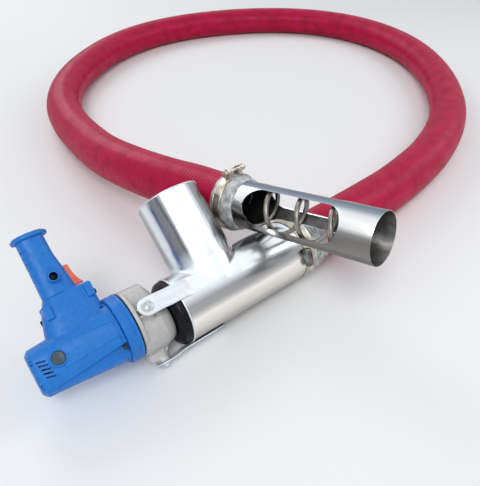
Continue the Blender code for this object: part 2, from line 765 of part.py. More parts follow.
def make_gearbox():
    """Cast housing: flange, gear bulge on the handle's side, round nose and three strap lugs."""
    offset = Matrix.Translation((0, MOTOR_OFFSET, 0))
    housing = rod(
        "gearbox_housing",
        GEARBOX_REAR,
        GEARBOX_REAR + 0.0070,
        FLANGE_RADIUS - 0.0005,
        "cast_aluminium",
        DRIVE,
        36,
        offset,
    )
    nose_outline = [
        (GEARBOX_REAR + 0.003, 0),
        (GEARBOX_REAR + 0.003, 0.0430),
        (GEARBOX_NOSE_END - 0.0213, 0.0405),
        (GEARBOX_NOSE_END - 0.0143, 0.0335),
        (GEARBOX_NOSE_END, 0.0325),
        (GEARBOX_NOSE_END, 0),
    ]
    nose = turned("gearbox_nose", nose_outline, None, DRIVE, 32, closed=False)
    bulge_sections = [
        (GEARBOX_REAR + 0.004, MOTOR_OFFSET + 0.0245, 0, 0.0300, 0.0330, 2.6),
        (GEARBOX_NOSE_END - 0.0213, MOTOR_OFFSET + 0.0245, 0, 0.0295, 0.0300, 2.6),
        (GEARBOX_NOSE_END - 0.0043, MOTOR_OFFSET + 0.0030, 0, 0.0230, 0.0220, 2.4),
    ]
    bulge = loft("gearbox_bulge", bulge_sections, 0, None, DRIVE, 20)
    join(housing, nose, bulge)
    for i in range(STRAP_COUNT):
        turn = lug_turn(i)
        sections = [
            (0.0250, STRAP_BOLT_AT + 0.001, 0, 0.0150, 0.0160, 3.0),
            (0.0460, STRAP_BOLT_AT - 0.001, 0, 0.0125, 0.0125, 2.2),
            (LUG_FACE, STRAP_BOLT_AT, 0, 0.0110, 0.0115, 2.0),
        ]
        lug = loft(f"gearbox_lug_{i}", sections, 1, None, DRIVE, 16, turn)
        join(housing, lug)
    cavity_place = Matrix.Translation((0, 0.0095, 0))
    cavity = rod(
        "gearbox_cavity",
        GEARBOX_REAR - 0.01,
        WHEEL_TO + 0.0070,
        CAVITY_RADIUS,
        None,
        DRIVE,
        28,
        cavity_place,
    )
    bearing_seat = FRONT_BEARING_RADIUS + GAP
    nose_bore = rod(
        "gearbox_nose_bore", WHEEL_TO - 0.003, GEARBOX_NOSE_END + 0.01, bearing_seat, None, DRIVE, 24,
    )
    cut(housing, cavity, nose_bore)
    for i in range(STRAP_COUNT):
        turn = lug_turn(i)
        hole_place = turn @ Matrix.Translation((STRAP_BOLT_AT, 0, 0)) @ ALONG_Y
        hole = rod(f"gearbox_lug_hole_{i}", 0.0440, 0.08, 0.0043, None, DRIVE, 12, hole_place)
        cut(housing, hole)
    plate = rod(
        "bearing_plate",
        PLATE_FROM,
        PLATE_TO,
        CAVITY_RADIUS - GAP,
        "cast_aluminium",
        DRIVE,
        28,
        cavity_place,
    )
    tail_seat = rod(
        "plate_tail_seat", PLATE_FROM - 0.01, PLATE_TO + 0.01, TAIL_BEARING + GAP, None, DRIVE, 18,
    )
    shaft_place = Matrix.Translation((0, MOTOR_OFFSET, 0))
    shaft_hole = rod(
        "plate_shaft_hole", PLATE_FROM - 0.01, PLATE_TO + 0.01, 0.0064, None, DRIVE, 14, shaft_place,
    )
    cut(plate, tail_seat, shaft_hole)


def make_straps():
    for i in range(STRAP_COUNT):
        turn = lug_turn(i)
        radius = STRAP_WIDTH / 2
        outline = [(STRAP_ENDS[i], -radius), (STRAP_ENDS[i], radius)]
        for k in range(9):
            angle = math.pi / 2 + math.pi * k / 8
            outline.append((STRAP_BOLT_AT + radius * math.cos(angle), radius * math.sin(angle)))
        low = LUG_FACE + GAP
        strap = prism(
            f"strap_{i + 1}", outline, low, low + STRAP_THICKNESS, 1, "polished_steel", DRIVE, turn,
        )
        bolt_axis = turn @ Matrix.Translation((STRAP_BOLT_AT, 0, 0)) @ ALONG_Y
        hole = rod(f"strap_hole_{i + 1}", low - 0.01, low + 0.02, 0.0043, None, DRIVE, 12, bolt_axis)
        cut(strap, hole)
        washer_low = low + STRAP_THICKNESS + GAP
        tube(
            f"strap_washer_{i + 1}",
            washer_low,
            washer_low + 0.0016,
            0.0043,
            0.0092,
            "zinc_plate",
            DRIVE,
            20,
            bolt_axis,
        )
        head_low = washer_low + 0.0016 + GAP
        bolt = rod(
            f"strap_bolt_{i + 1}", 0.0450, head_low + 0.001, 0.0039, "zinc_plate", DRIVE, 12, bolt_axis,
        )
        head = rod(
            f"strap_bolt_head_{i + 1}", head_low, head_low + 0.0050, 0.0068, None, DRIVE, 6, bolt_axis,
        )
        join(bolt, head)


def make_end_seal():
    outer = TEE_BORE - GAP
    hole = SPINDLE_RADIUS + 0.002
    outline = [
        (PLUG_LENGTH, hole),
        (PLUG_LENGTH, outer),
        (0.0108 - PLUG_STAND_OUT, outer),
        (0.0048 - PLUG_STAND_OUT, outer - 0.0020),
        (0.0013 - PLUG_STAND_OUT, outer - 0.0065),
        (-PLUG_STAND_OUT, outer - 0.0130),
        (-PLUG_STAND_OUT, hole),
    ]
    turned("end_seal", outline, "black_rubber", DRIVE, 32)


# ---------------------------------------------------------------- motor
BORE_RADIUS = 0.0395
BRUSH_BORE = 0.0300
STATOR_FROM, STATOR_TO = HOUSING_REAR + 0.0690, FLANGE_REAR - 0.0130
REAR_SEAT = 0.0085
BRUSH_AT = HOUSING_REAR + 0.0375
BRUSH_TURN = roll_about_x(math.radians(-12))  # the brushes lean towards the handle


def make_flange():
    gasket_front = GEARBOX_REAR - GAP
    tube(
        "gearbox_gasket",
        gasket_front - GASKET_THICKNESS,
        gasket_front,
        0.0400,
        FLANGE_RADIUS - 0.0015,
        "black_rubber",
        ARMATURE,
        32,
    )
    outline = [
        (FLANGE_FRONT, ARMATURE_BEARING + GAP),
        (FLANGE_FRONT, FLANGE_RADIUS),
        (FLANGE_REAR + GAP, FLANGE_RADIUS),
        (FLANGE_REAR + GAP, 0.0440),
        (FLANGE_FRONT - 0.0115, 0.0400),
        (FLANGE_FRONT - 0.0115, ARMATURE_BEARING + GAP),
    ]
    turned("motor_flange", outline, "blue_plastic", ARMATURE, 36)


SCREW_ANGLES = [math.radians(angle) for angle in (28, 122, -28, -122)]
SCREW_RING = 0.0470
SCREW_SEAT = FLANGE_REAR - 0.0035
VENT_COUNT = 5
VENT_PITCH = 0.0065
BUTTON_AT = Matrix.Translation((-0.0490, 0.1350, 0)) @ ALONG_Z
END_CAP_AT = -0.0525


def screw_place(angle):
    return Matrix.Translation((0, SCREW_RING * math.cos(angle), SCREW_RING * math.sin(angle)))


def side_plugs():
    front = Matrix.Translation((-0.0030, 0.0900, 0.0060))
    rear = Matrix.Translation((-0.0880, 0.0800, -0.0040)) @ Matrix.Rotation(math.pi, 4, "Z")
    return (("side_plug_front", front), ("side_plug_rear", rear))


def make_housing():
    """Moulded housing: tapered body, base block and grip in one piece, hollow inside."""
    low, mid, high = BORE_RADIUS + 0.0110, BORE_RADIUS + 0.0075, BRUSH_BORE + 0.0075
    body_sections = [
        (HOUSING_REAR, 0, 0, high - 0.0050, high - 0.0050, 3.2),
        (HOUSING_REAR + 0.006, 0, 0, high, high, 3.2),
        (HOUSING_REAR + 0.043, 0, 0, high + 0.0030, high + 0.0030, 3.0),
        (FLANGE_REAR - 0.029, 0, 0, mid, mid, 2.6),
        (FLANGE_REAR, 0, 0, low, low, 2.2),
    ]
    housing = loft("motor_housing", body_sections, 0, "blue_plastic", ARMATURE, 32)
    base_sections = [
        (0.0300, -0.0550, 0, 0.0540, 0.0360, 3.0),
        (0.0560, -0.0490, 0, 0.0475, 0.0330, 3.2),
        (0.0860, -0.0450, 0, 0.0430, 0.0270, 3.6),
        (0.1085, -0.0395, 0, 0.0372, 0.0215, 4.0),
    ]
    base = loft("housing_base", base_sections, 1, None, HANDLE, 20)
    grip_sections = [
        (0.0950, -0.0485, 0, 0.0275, GRIP_HALF_WIDTH, 2.8),
        (GRIP_END - 0.0585, -0.0510, 0, 0.0240, GRIP_HALF_WIDTH, 2.6),
        (GRIP_END - 0.0330, -0.0530, 0, 0.0218, GRIP_HALF_WIDTH - 0.0005, 2.5),
        (GRIP_END, -0.0533, 0, 0.0212, GRIP_HALF_WIDTH, 2.5),
    ]
    grip = loft("housing_grip", grip_sections, 1, None, HANDLE, 20)
    join(housing, base, grip)
    bore_outline = [
        (FLANGE_REAR + 0.02, 0),
        (FLANGE_REAR + 0.02, BORE_RADIUS),
        (STATOR_FROM - 0.0080, BORE_RADIUS),
        (STATOR_FROM - 0.0120, BRUSH_BORE),
        (HOUSING_REAR + 0.0130, BRUSH_BORE),
        (HOUSING_REAR + 0.0130, REAR_SEAT + GAP),
        (HOUSING_REAR + 0.0040, REAR_SEAT + GAP),
        (HOUSING_REAR + 0.0040, 0),
    ]
    bore = turned("housing_bore", bore_outline, None, ARMATURE, 28, closed=False)
    hollow = GRIP_HALF_WIDTH - GRIP_WALL
    grip_sections = [
        (0.0300, -0.0490, 0, 0.0180, hollow, 4.0),
        (0.1300, -0.0500, 0, 0.0185, hollow, 4.0),
        (GRIP_END + 0.01, -0.0530, 0, 0.0172, hollow, 4.0),
    ]
    grip_hollow = loft("housing_grip_hollow", grip_sections, 1, None, HANDLE, 16)
    slot_back = TRIGGER_BACK - TRIGGER_TRAVEL - 0.0030
    trigger_slot = box(
        "housing_trigger_slot", (slot_back, 0.1080, -0.0062), (0.0010, 0.1485, 0.0062), None, HANDLE,
    )
    button_hole = rod("housing_button_hole", 0.005, 0.03, BUTTON_RADIUS + GAP, None, HANDLE, 16, BUTTON_AT)
    brush_place = Matrix.Translation((BRUSH_AT, 0, 0)) @ BRUSH_TURN @ ALONG_Z
    brush_hole = rod("housing_brush_hole", -0.06, 0.06, 0.0078, None, ARMATURE, 16, brush_place)
    cut(housing, bore, grip_hollow, trigger_slot, button_hole, brush_hole)
    for i, angle in enumerate(SCREW_ANGLES):
        place = screw_place(angle)
        pocket = rod(
            f"housing_pocket_{i}", SCREW_SEAT - 0.0135, SCREW_SEAT, 0.0052, None, ARMATURE, 12, place, 0.1,
        )
        hole = rod(
            f"housing_screw_hole_{i}",
            SCREW_SEAT - 0.0055,
            FLANGE_REAR + 0.01,
            0.0022,
            None,
            ARMATURE,
            8,
            place,
            0.1,
        )
        cut(housing, pocket, hole)
    for name, place in side_plugs():
        plug_hole = rod(f"hole_for_{name}", -0.0062, 0.02, 0.0047, None, HANDLE, 14, place)
        cut(housing, plug_hole)
    vent_middle = BRUSH_BORE + 0.0060
    for side in (-1, 1):
        for i in range(VENT_COUNT):
            middle = VENT_PITCH * i - 0.016
            slot = box(
                f"housing_vent_{'n' if side < 0 else 'p'}{i}",
                (HOUSING_REAR + 0.0135, middle - 0.0016, side * vent_middle - 0.012),
                (HOUSING_REAR + 0.0235, middle + 0.0016, side * vent_middle + 0.012),
                None,
                ARMATURE,
            )
            cut(housing, slot)


def make_motor_inside():
    tube("stator", STATOR_FROM, STATOR_TO, 0.0235, BORE_RADIUS - GAP, "laminated_iron", ARMATURE, 28)
    shaft_outline = [
        (HOUSING_REAR + 0.0055, 0),
        (HOUSING_REAR + 0.0055, ARMATURE_SHAFT - 0.0010),
        (HOUSING_REAR + 0.0140, ARMATURE_SHAFT - 0.0010),
        (HOUSING_REAR + 0.0140, ARMATURE_SHAFT),
        (PINION_FROM - 0.0080, ARMATURE_SHAFT),
        (PINION_FROM - 0.0080, 0.0023),
        (PINION_TO + 0.0010, 0.0023),
        (PINION_TO + 0.0010, 0),
    ]
    turned("armature_shaft", shaft_outline, "spring_steel", ARMATURE, 14, closed=False)
    bore = ARMATURE_SHAFT + GAP
    tube("armature_core", STATOR_FROM - 0.001, STATOR_TO + 0.001, bore, 0.0226, "copper", ARMATURE, 24)
    tube("commutator", BRUSH_AT - 0.0115, BRUSH_AT + 0.0115, bore, 0.0120, "copper", ARMATURE, 20)
    fan_radius = BORE_RADIUS - 0.0045
    fan_outline = [
        (FLANGE_REAR - 0.0090, bore),
        (FLANGE_REAR - 0.0090, fan_radius),
        (FLANGE_REAR - 0.0065, fan_radius),
        (FLANGE_REAR - 0.0030, 0.0100),
        (FLANGE_REAR + 0.0010, 0.0100),
        (FLANGE_REAR + 0.0010, bore),
    ]
    turned("cooling_fan", fan_outline, "black_rubber", ARMATURE, 24)
    tube(
        "armature_front_bearing",
        ARM_BEARING_FROM,
        ARM_BEARING_TO,
        bore,
        ARMATURE_BEARING,
        "spring_steel",
        ARMATURE,
        18,
    )
    rear_from, rear_to = HOUSING_REAR + 0.0055, HOUSING_REAR + 0.0125
    tube(
        "armature_rear_bearing",
        rear_from,
        rear_to,
        ARMATURE_SHAFT - 0.001 + GAP,
        REAR_SEAT,
        "spring_steel",
        ARMATURE,
        16,
    )
    cap_low, cap_top = BRUSH_BORE - 0.0007, BRUSH_BORE + 0.0125
    for side, name in ((1, "upper"), (-1, "lower")):
        place = Matrix.Translation((BRUSH_AT, 0, 0)) @ BRUSH_TURN @ roll_about_x(0 if side > 0 else math.pi)
        box(
            f"carbon_brush_{name}",
            (-0.0040, -0.0030, 0.0123),
            (0.0040, 0.0030, cap_low - GAP),
            "carbon",
            ARMATURE,
            0,
            place,
        )
        cap = rod(
            f"brush_cap_{name}", cap_low, cap_top, 0.0074, "black_rubber", ARMATURE, 20, place @ ALONG_Z,
        )
        groove = box(
            f"brush_cap_groove_{name}",
            (-0.0012, -0.01, cap_top - 0.0011),
            (0.0012, 0.01, 0.05),
            None,
            ARMATURE,
            0,
            place,
        )
        cut(cap, groove)


def make_handle_parts():
    outline = rounded_slot(0.0560, GRIP_HALF_WIDTH + 0.0050, 5)
    cap_place = Matrix.Translation((END_CAP_AT, GRIP_END + GAP, 0))
    cap = prism("handle_end_cap", outline, 0, END_CAP_THICKNESS, 1, "blue_plastic", HANDLE, cap_place)
    gland_place = Matrix.Translation((END_CAP_AT, 0, 0)) @ ALONG_Y
    gland_hole = rod(
        "end_cap_hole", GRIP_END - 0.01, GRIP_END + 0.02, 0.0075, None, HANDLE, 16, gland_place,
    )
    cut(cap, gland_hole)
    top = GRIP_END + GAP + END_CAP_THICKNESS
    tube(
        "cable_gland",
        GRIP_END - 0.008,
        top + 0.0045,
        0.0035,
        0.0072,
        "black_rubber",
        HANDLE,
        16,
        gland_place,
    )
    trigger_outline = [
        (TRIGGER_BACK, 0.1470),
        (-0.0245, 0.1465),
        (-0.0205, 0.1462),
        (-0.0180, 0.1290),
        (-0.0150, 0.1180),
        (-0.0095, 0.1112),
        (-0.0230, 0.1100),
        (TRIGGER_BACK, 0.1100),
    ]
    prism("trigger", trigger_outline, -0.0059, 0.0059, 2, "orange_plastic", HANDLE)
    rod(
        "lock_button",
        BUTTON_INNER_END,
        GRIP_HALF_WIDTH + 0.0028,
        BUTTON_RADIUS,
        "black_rubber",
        HANDLE,
        16,
        BUTTON_AT,
    )
    switch_front = TRIGGER_BACK - TRIGGER_TRAVEL - 0.0010
    switch_half = BUTTON_INNER_END - BUTTON_TRAVEL - 0.0004
    low, high = (-0.0590, 0.1100, -switch_half), (switch_front, GRIP_END - 0.0330, switch_half)
    box("switch_block", low, high, "black_rubber", HANDLE, 0.001)
    for i, angle in enumerate(SCREW_ANGLES):
        place = screw_place(angle)
        screw = rod(
            f"housing_screw_{i + 1}",
            SCREW_SEAT - 0.0045,
            SCREW_SEAT - GAP,
            0.0040,
            "zinc_plate",
            ARMATURE,
            10,
            place,
        )
        shank_from = SCREW_SEAT - 0.0015
        shank = rod(
            f"housing_screw_shank_{i + 1}", shank_from, FLANGE_REAR - GAP, 0.0018, None, ARMATURE, 8, place,
        )
        join(screw, shank)
    for name, place in side_plugs():
        rod(name, -0.006, 0.0035, 0.0044, "black_rubber", HANDLE, 14, place)


make_tee()
make_tee_end()
make_hose()
make_inlet()
make_inlet_clamp()
make_spirals()
make_gear_train()
make_spindle()
make_gearbox()
make_straps()
make_end_seal()
make_flange()
make_housing()
make_motor_inside()
make_handle_parts()
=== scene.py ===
"""Looks of the portable grain auger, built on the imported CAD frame. All sizes are in metres."""

import json
import math

import bmesh
import bpy
from mathutils import Matrix, Vector, noise
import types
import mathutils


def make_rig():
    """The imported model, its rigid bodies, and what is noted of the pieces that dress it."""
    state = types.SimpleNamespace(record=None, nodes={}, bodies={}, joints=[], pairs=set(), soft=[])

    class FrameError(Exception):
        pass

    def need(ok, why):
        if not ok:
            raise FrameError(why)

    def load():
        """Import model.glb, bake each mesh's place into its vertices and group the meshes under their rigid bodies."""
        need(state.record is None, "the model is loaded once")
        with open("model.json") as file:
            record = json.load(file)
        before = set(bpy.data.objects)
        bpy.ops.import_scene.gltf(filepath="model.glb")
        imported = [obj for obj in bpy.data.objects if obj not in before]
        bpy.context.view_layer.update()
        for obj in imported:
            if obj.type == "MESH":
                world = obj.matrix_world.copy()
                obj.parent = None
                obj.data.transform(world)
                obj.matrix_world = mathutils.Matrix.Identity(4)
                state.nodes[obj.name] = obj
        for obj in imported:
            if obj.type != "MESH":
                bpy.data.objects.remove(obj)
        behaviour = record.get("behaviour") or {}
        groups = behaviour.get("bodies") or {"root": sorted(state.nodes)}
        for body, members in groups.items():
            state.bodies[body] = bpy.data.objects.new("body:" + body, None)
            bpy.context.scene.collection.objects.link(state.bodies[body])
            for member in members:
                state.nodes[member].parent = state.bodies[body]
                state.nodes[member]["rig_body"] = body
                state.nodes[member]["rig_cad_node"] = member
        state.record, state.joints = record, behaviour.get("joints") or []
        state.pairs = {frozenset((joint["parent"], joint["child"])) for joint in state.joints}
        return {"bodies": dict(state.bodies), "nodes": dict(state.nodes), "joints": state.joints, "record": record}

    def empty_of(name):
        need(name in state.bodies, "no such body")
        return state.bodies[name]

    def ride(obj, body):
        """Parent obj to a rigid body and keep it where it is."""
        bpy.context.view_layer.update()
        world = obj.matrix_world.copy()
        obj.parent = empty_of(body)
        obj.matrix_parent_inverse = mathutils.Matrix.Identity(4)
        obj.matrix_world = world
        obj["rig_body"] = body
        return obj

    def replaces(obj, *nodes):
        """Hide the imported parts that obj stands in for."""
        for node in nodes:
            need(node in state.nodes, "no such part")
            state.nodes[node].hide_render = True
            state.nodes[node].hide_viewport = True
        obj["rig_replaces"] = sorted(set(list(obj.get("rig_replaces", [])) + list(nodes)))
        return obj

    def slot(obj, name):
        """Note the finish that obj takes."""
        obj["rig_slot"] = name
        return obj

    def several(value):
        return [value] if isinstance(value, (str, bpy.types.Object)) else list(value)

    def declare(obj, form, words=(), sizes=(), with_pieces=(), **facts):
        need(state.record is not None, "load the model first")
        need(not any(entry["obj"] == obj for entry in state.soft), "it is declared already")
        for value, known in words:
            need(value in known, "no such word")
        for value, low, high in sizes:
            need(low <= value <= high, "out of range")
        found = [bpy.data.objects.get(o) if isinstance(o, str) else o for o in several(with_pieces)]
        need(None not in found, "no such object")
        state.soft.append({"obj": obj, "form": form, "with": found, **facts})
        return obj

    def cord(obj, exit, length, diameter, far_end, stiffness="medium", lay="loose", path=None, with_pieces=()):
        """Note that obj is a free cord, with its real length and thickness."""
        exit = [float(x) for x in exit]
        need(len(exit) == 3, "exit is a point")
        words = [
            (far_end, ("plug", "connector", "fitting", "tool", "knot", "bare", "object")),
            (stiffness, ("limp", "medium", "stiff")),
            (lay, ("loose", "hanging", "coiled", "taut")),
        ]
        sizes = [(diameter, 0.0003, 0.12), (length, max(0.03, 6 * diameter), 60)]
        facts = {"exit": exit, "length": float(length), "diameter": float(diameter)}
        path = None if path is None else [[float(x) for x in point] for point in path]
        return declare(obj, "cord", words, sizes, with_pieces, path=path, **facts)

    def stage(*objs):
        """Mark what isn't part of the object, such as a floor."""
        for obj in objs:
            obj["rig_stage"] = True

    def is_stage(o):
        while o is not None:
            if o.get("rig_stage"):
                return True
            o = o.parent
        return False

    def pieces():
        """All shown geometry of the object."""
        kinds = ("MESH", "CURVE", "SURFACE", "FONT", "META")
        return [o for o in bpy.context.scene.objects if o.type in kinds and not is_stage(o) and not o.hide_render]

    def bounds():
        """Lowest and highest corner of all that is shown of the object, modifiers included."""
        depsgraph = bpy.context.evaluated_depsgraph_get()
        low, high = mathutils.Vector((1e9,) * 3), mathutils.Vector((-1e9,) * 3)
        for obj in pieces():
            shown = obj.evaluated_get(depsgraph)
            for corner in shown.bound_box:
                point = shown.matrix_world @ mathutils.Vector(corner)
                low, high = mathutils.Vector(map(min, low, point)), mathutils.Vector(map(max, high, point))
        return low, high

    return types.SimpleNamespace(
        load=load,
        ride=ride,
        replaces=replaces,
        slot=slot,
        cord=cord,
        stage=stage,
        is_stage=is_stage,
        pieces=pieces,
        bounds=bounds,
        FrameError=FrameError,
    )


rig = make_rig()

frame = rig.load()
CAD_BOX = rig.bounds()

# ---------------------------------------------------------------- sizes shared with the CAD
GAP = 0.0003
AXIS_HEIGHT = 0.0605
ORIGIN_X = 0.0379
ORIGIN_Y = -0.0122
TEE_RADIUS = 0.0588
TEE_WALL = 0.0015
TEE_LENGTH = 0.277
SPOUT_RADIUS = 0.0584
SPOUT_AT = 0.0878
SPOUT_LENGTH = 0.1847
SPOUT_ROLL = math.radians(39)
HOSE_RADIUS = 0.0504
HOSE_WALL = 0.0030
HOSE_START = 0.239
INLET_RADIUS = 0.0445
INLET_WALL = 0.0015
INLET_START = Vector((0.2109, 0.0668, 0.1500))
INLET_END = Vector((0.2653, -0.1919, 0.2053))
INLET_TUCK = 0.030
WINDOW_ROLL = math.radians(54.4)
WINDOW_FROM = 0.022
WINDOW_TO = 0.214
WINDOW_HALF_WIDTH = 0.0312
WINDOW_COUNT = 3
SPIRAL_PITCH = 0.0635
SPIRAL_OUTER = 0.0390
SPIRAL_INNER = 0.0320
HANDLE_ROLL = math.radians(44)
MOTOR_OFFSET = 0.017
SPINDLE_RADIUS = 0.0085
STRAP_WIDTH = 0.032
STRAP_THICKNESS = 0.0024
STRAP_BOLT_AT = -0.0525
STRAP_ENDS = (0.026, 0.066, 0.026)
GEARBOX_NOSE_END = -0.0187
GEARBOX_REAR = -0.0778
FLANGE_FRONT = -0.0798
FLANGE_REAR = -0.1010
FLANGE_RADIUS = 0.0560
HOUSING_REAR = -0.2330
BORE_RADIUS = 0.0395
BRUSH_BORE = 0.0300
BRUSH_AT = -0.1955
BRUSH_ROLL = math.radians(-12)
GRIP_END = 0.2030
GRIP_HALF_WIDTH = 0.0185
BUTTON_RADIUS = 0.0062
PLUG_LENGTH = 0.024
PLUG_STAND_OUT = 0.0168
CAVITY_RADIUS = 0.0290
BAND_THICKNESS = 0.0014


# ---------------------------------------------------------------- frames
def axes_matrix(origin, along, up):
    along = along.normalized()
    across = up.cross(along).normalized()
    up = along.cross(across)
    turn = Matrix((along, across, up)).transposed().to_4x4()
    return Matrix.Translation(origin) @ turn


ROOT = Matrix.Translation((-ORIGIN_X, -ORIGIN_Y, AXIS_HEIGHT))
SPOUT = ROOT @ Matrix.Rotation(SPOUT_ROLL, 4, "X")
DRIVE = ROOT @ Matrix.Rotation(HANDLE_ROLL, 4, "X")
ARMATURE = DRIVE @ Matrix.Translation((0, MOTOR_OFFSET, 0))
INLET_LENGTH = (INLET_END - INLET_START).length
INLET_ALONG = (INLET_END - INLET_START).normalized()
INLET_UP = (Vector((0, 0, 1)) - INLET_ALONG * INLET_ALONG.z).normalized()
INLET_FACE = Matrix.Rotation(WINDOW_ROLL, 3, INLET_ALONG) @ INLET_UP
INLET_FACE_OTHER = Matrix.Rotation(-WINDOW_ROLL, 3, INLET_ALONG) @ INLET_UP
if INLET_FACE_OTHER.x < INLET_FACE.x:
    INLET_FACE = INLET_FACE_OTHER
INLET = ROOT @ axes_matrix(INLET_START - Vector((0, 0, AXIS_HEIGHT)), INLET_ALONG, INLET_FACE)


# ---------------------------------------------------------------- camera
CAMERA_PLACE = Vector((-0.2506, -0.4978, 0.6658))
CAMERA_LOOK = Vector((0.47405, 0.60378, -0.64088))
CAMERA_ROLL = math.radians(-0.39)
LONG_SIDE = 486
FOCAL_IN_PIXELS = 480


def make_camera():
    data = bpy.data.cameras.new("camera")
    data.sensor_width = 36
    data.lens = 36 * FOCAL_IN_PIXELS / LONG_SIDE
    data.clip_start = 0.01
    data.clip_end = 50
    camera = bpy.data.objects.new("camera", data)
    bpy.context.collection.objects.link(camera)
    camera.rotation_mode = "QUATERNION"
    look = CAMERA_LOOK.to_track_quat("-Z", "Y")
    roll = Matrix.Rotation(CAMERA_ROLL, 3, "Z").to_quaternion()
    camera.rotation_quaternion = look @ roll
    camera.location = CAMERA_PLACE - Vector((ORIGIN_X, ORIGIN_Y, 0))
    bpy.context.scene.camera = camera


# ---------------------------------------------------------------- materials
def new_material(name, colour, metallic=0.0, roughness=0.5):
    material = bpy.data.materials.new(name)
    material.use_nodes = True
    shader = material.node_tree.nodes["Principled BSDF"]
    shader.inputs["Base Color"].default_value = (*colour, 1)
    shader.inputs["Metallic"].default_value = metallic
    shader.inputs["Roughness"].default_value = roughness
    return material, material.node_tree, shader


def add_noise(tree, scale, detail=3.0, stretch=(1, 1, 1)):
    place = tree.nodes.new("ShaderNodeTexCoord")
    mapping = tree.nodes.new("ShaderNodeMapping")
    mapping.inputs["Scale"].default_value = stretch
    noise = tree.nodes.new("ShaderNodeTexNoise")
    noise.inputs["Scale"].default_value = scale
    noise.inputs["Detail"].default_value = detail
    tree.links.new(place.outputs["Object"], mapping.inputs["Vector"])
    tree.links.new(mapping.outputs["Vector"], noise.inputs["Vector"])
    return noise


def add_ramp(tree, source, stops):
    ramp = tree.nodes.new("ShaderNodeValToRGB")
    elements = ramp.color_ramp.elements
    while len(elements) < len(stops):
        elements.new(0.5)
    for element, (at, colour) in zip(elements, stops):
        element.position = at
        element.color = (*colour, 1)
    tree.links.new(source, ramp.inputs["Fac"])
    return ramp


def add_math(tree, operation, *inputs):
    """A maths node. Each input is a number, or another node's output."""
    node = tree.nodes.new("ShaderNodeMath")
    node.operation = operation
    for socket, value in zip(node.inputs, inputs):
        if isinstance(value, float):
            socket.default_value = value
        else:
            tree.links.new(value, socket)
    return node.outputs["Value"]


def vary_roughness(tree, shader, source, rough):
    levels = ((0.3, (rough[1],) * 3), (0.7, (rough[0],) * 3))
    ramp = add_ramp(tree, source.outputs["Fac"], levels)
    tree.links.new(ramp.outputs["Color"], shader.inputs["Roughness"])


def add_bump(tree, shader, source, strength, distance):
    bump = tree.nodes.new("ShaderNodeBump")
    bump.inputs["Strength"].default_value = strength
    bump.inputs["Distance"].default_value = distance
    tree.links.new(source, bump.inputs["Height"])
    tree.links.new(bump.outputs["Normal"], shader.inputs["Normal"])


def varied_material(name, dark, light, metallic, rough, scale, bump=0.0, stretch=(1, 1, 1), specular=0.5):
    """Colour and roughness vary gently over the surface, with a fine bump. rough is (low, high)."""
    material, tree, shader = new_material(name, light, metallic)
    noise = add_noise(tree, scale, 4, stretch)
    colour = add_ramp(tree, noise.outputs["Fac"], ((0.35, dark), (0.65, light)))
    tree.links.new(colour.outputs["Color"], shader.inputs["Base Color"])
    vary_roughness(tree, shader, noise, rough)
    if bump:
        fine = add_noise(tree, scale * 6, 3, stretch)
        add_bump(tree, shader, fine.outputs["Fac"], bump, 0.0006)
    shader.inputs["Specular IOR Level"].default_value = specular
    return material


# Painted reflections: light and dark bands are painted into the steel's colour, fixed on the object and laid out from
# the camera's side: they change in the direction that is square to the tube and to this, which is CAMERA_LOOK to two
# places
PAINTED_REFLECTION_SIDE = Vector((0.47, 0.60, -0.64))
PAINTED_REFLECTION_WAVE = 0.06  # how far the painted reflection bands wander, as a share of the tube's width
SPOUT_PAINTED_REFLECTIONS_FROM = 0.050  # from the spindle axis, where the spout's painted reflections start to take over
SPOUT_PAINTED_REFLECTIONS_FULL = 0.080
# Stops of painted reflections: light and dark bands across the spout, the main tube and the inlet tube
SPOUT_PAINTED_REFLECTIONS = (
    (0.0, (0.2, 0.2, 0.21)), (0.07, (0.45, 0.46, 0.48)), (0.13, (0.85, 0.88, 0.91)), (
        0.22, (0.8, 0.83, 0.86),
    ),
    (0.28, (0.3, 0.3, 0.31)), (0.37, (0.26, 0.26, 0.27)), (0.4, (0.12, 0.12, 0.13)), (
        0.46, (0.5, 0.53, 0.56),
    ),
    (0.52, (0.95, 0.98, 1.0)), (0.78, (0.95, 0.98, 1.0)), (0.84, (0.26, 0.27, 0.28)), (
        0.92, (0.42, 0.43, 0.45),
    ),
    (1.0, (0.25, 0.25, 0.26)),
)
TEE_PAINTED_REFLECTIONS = (
    (0.0, (0.22, 0.21, 0.205)), (0.05, (0.45, 0.43, 0.41)), (0.14, (0.82, 0.78, 0.73)), (
        0.28, (1.0, 0.95, 0.9),
    ),
    (0.38, (0.5, 0.485, 0.47)), (0.47, (0.38, 0.375, 0.37)), (0.56, (0.64, 0.67, 0.7)), (
        0.66, (0.92, 0.97, 1.0),
    ),
    (0.94, (0.94, 0.98, 1.0)), (1.0, (0.8, 0.85, 0.9)),
)
INLET_PAINTED_REFLECTIONS = (
    (0.0, (0.12, 0.115, 0.11)), (0.08, (0.26, 0.25, 0.24)), (0.25, (0.2, 0.19, 0.18)), (
        0.38, (0.36, 0.34, 0.32),
    ),
    (0.47, (0.86, 0.85, 0.83)), (0.6, (0.97, 0.97, 0.97)), (0.74, (0.76, 0.8, 0.85)), (
        0.84, (0.3, 0.34, 0.4),
    ),
    (0.92, (0.22, 0.25, 0.3)), (1.0, (0.45, 0.47, 0.5)),
)


def add_distance(tree, direction, low, high):
    """How far a point lies along a direction, from 0 at low to 1 at high."""
    place = tree.nodes.new("ShaderNodeTexCoord")
    dot = tree.nodes.new("ShaderNodeVectorMath")
    dot.operation = "DOT_PRODUCT"
    dot.inputs[1].default_value = direction
    tree.links.new(place.outputs["Object"], dot.inputs[0])
    share = tree.nodes.new("ShaderNodeMapRange")
    share.inputs["From Min"].default_value = low
    share.inputs["From Max"].default_value = high
    tree.links.new(dot.outputs["Value"], share.inputs["Value"])
    return share.outputs["Result"]


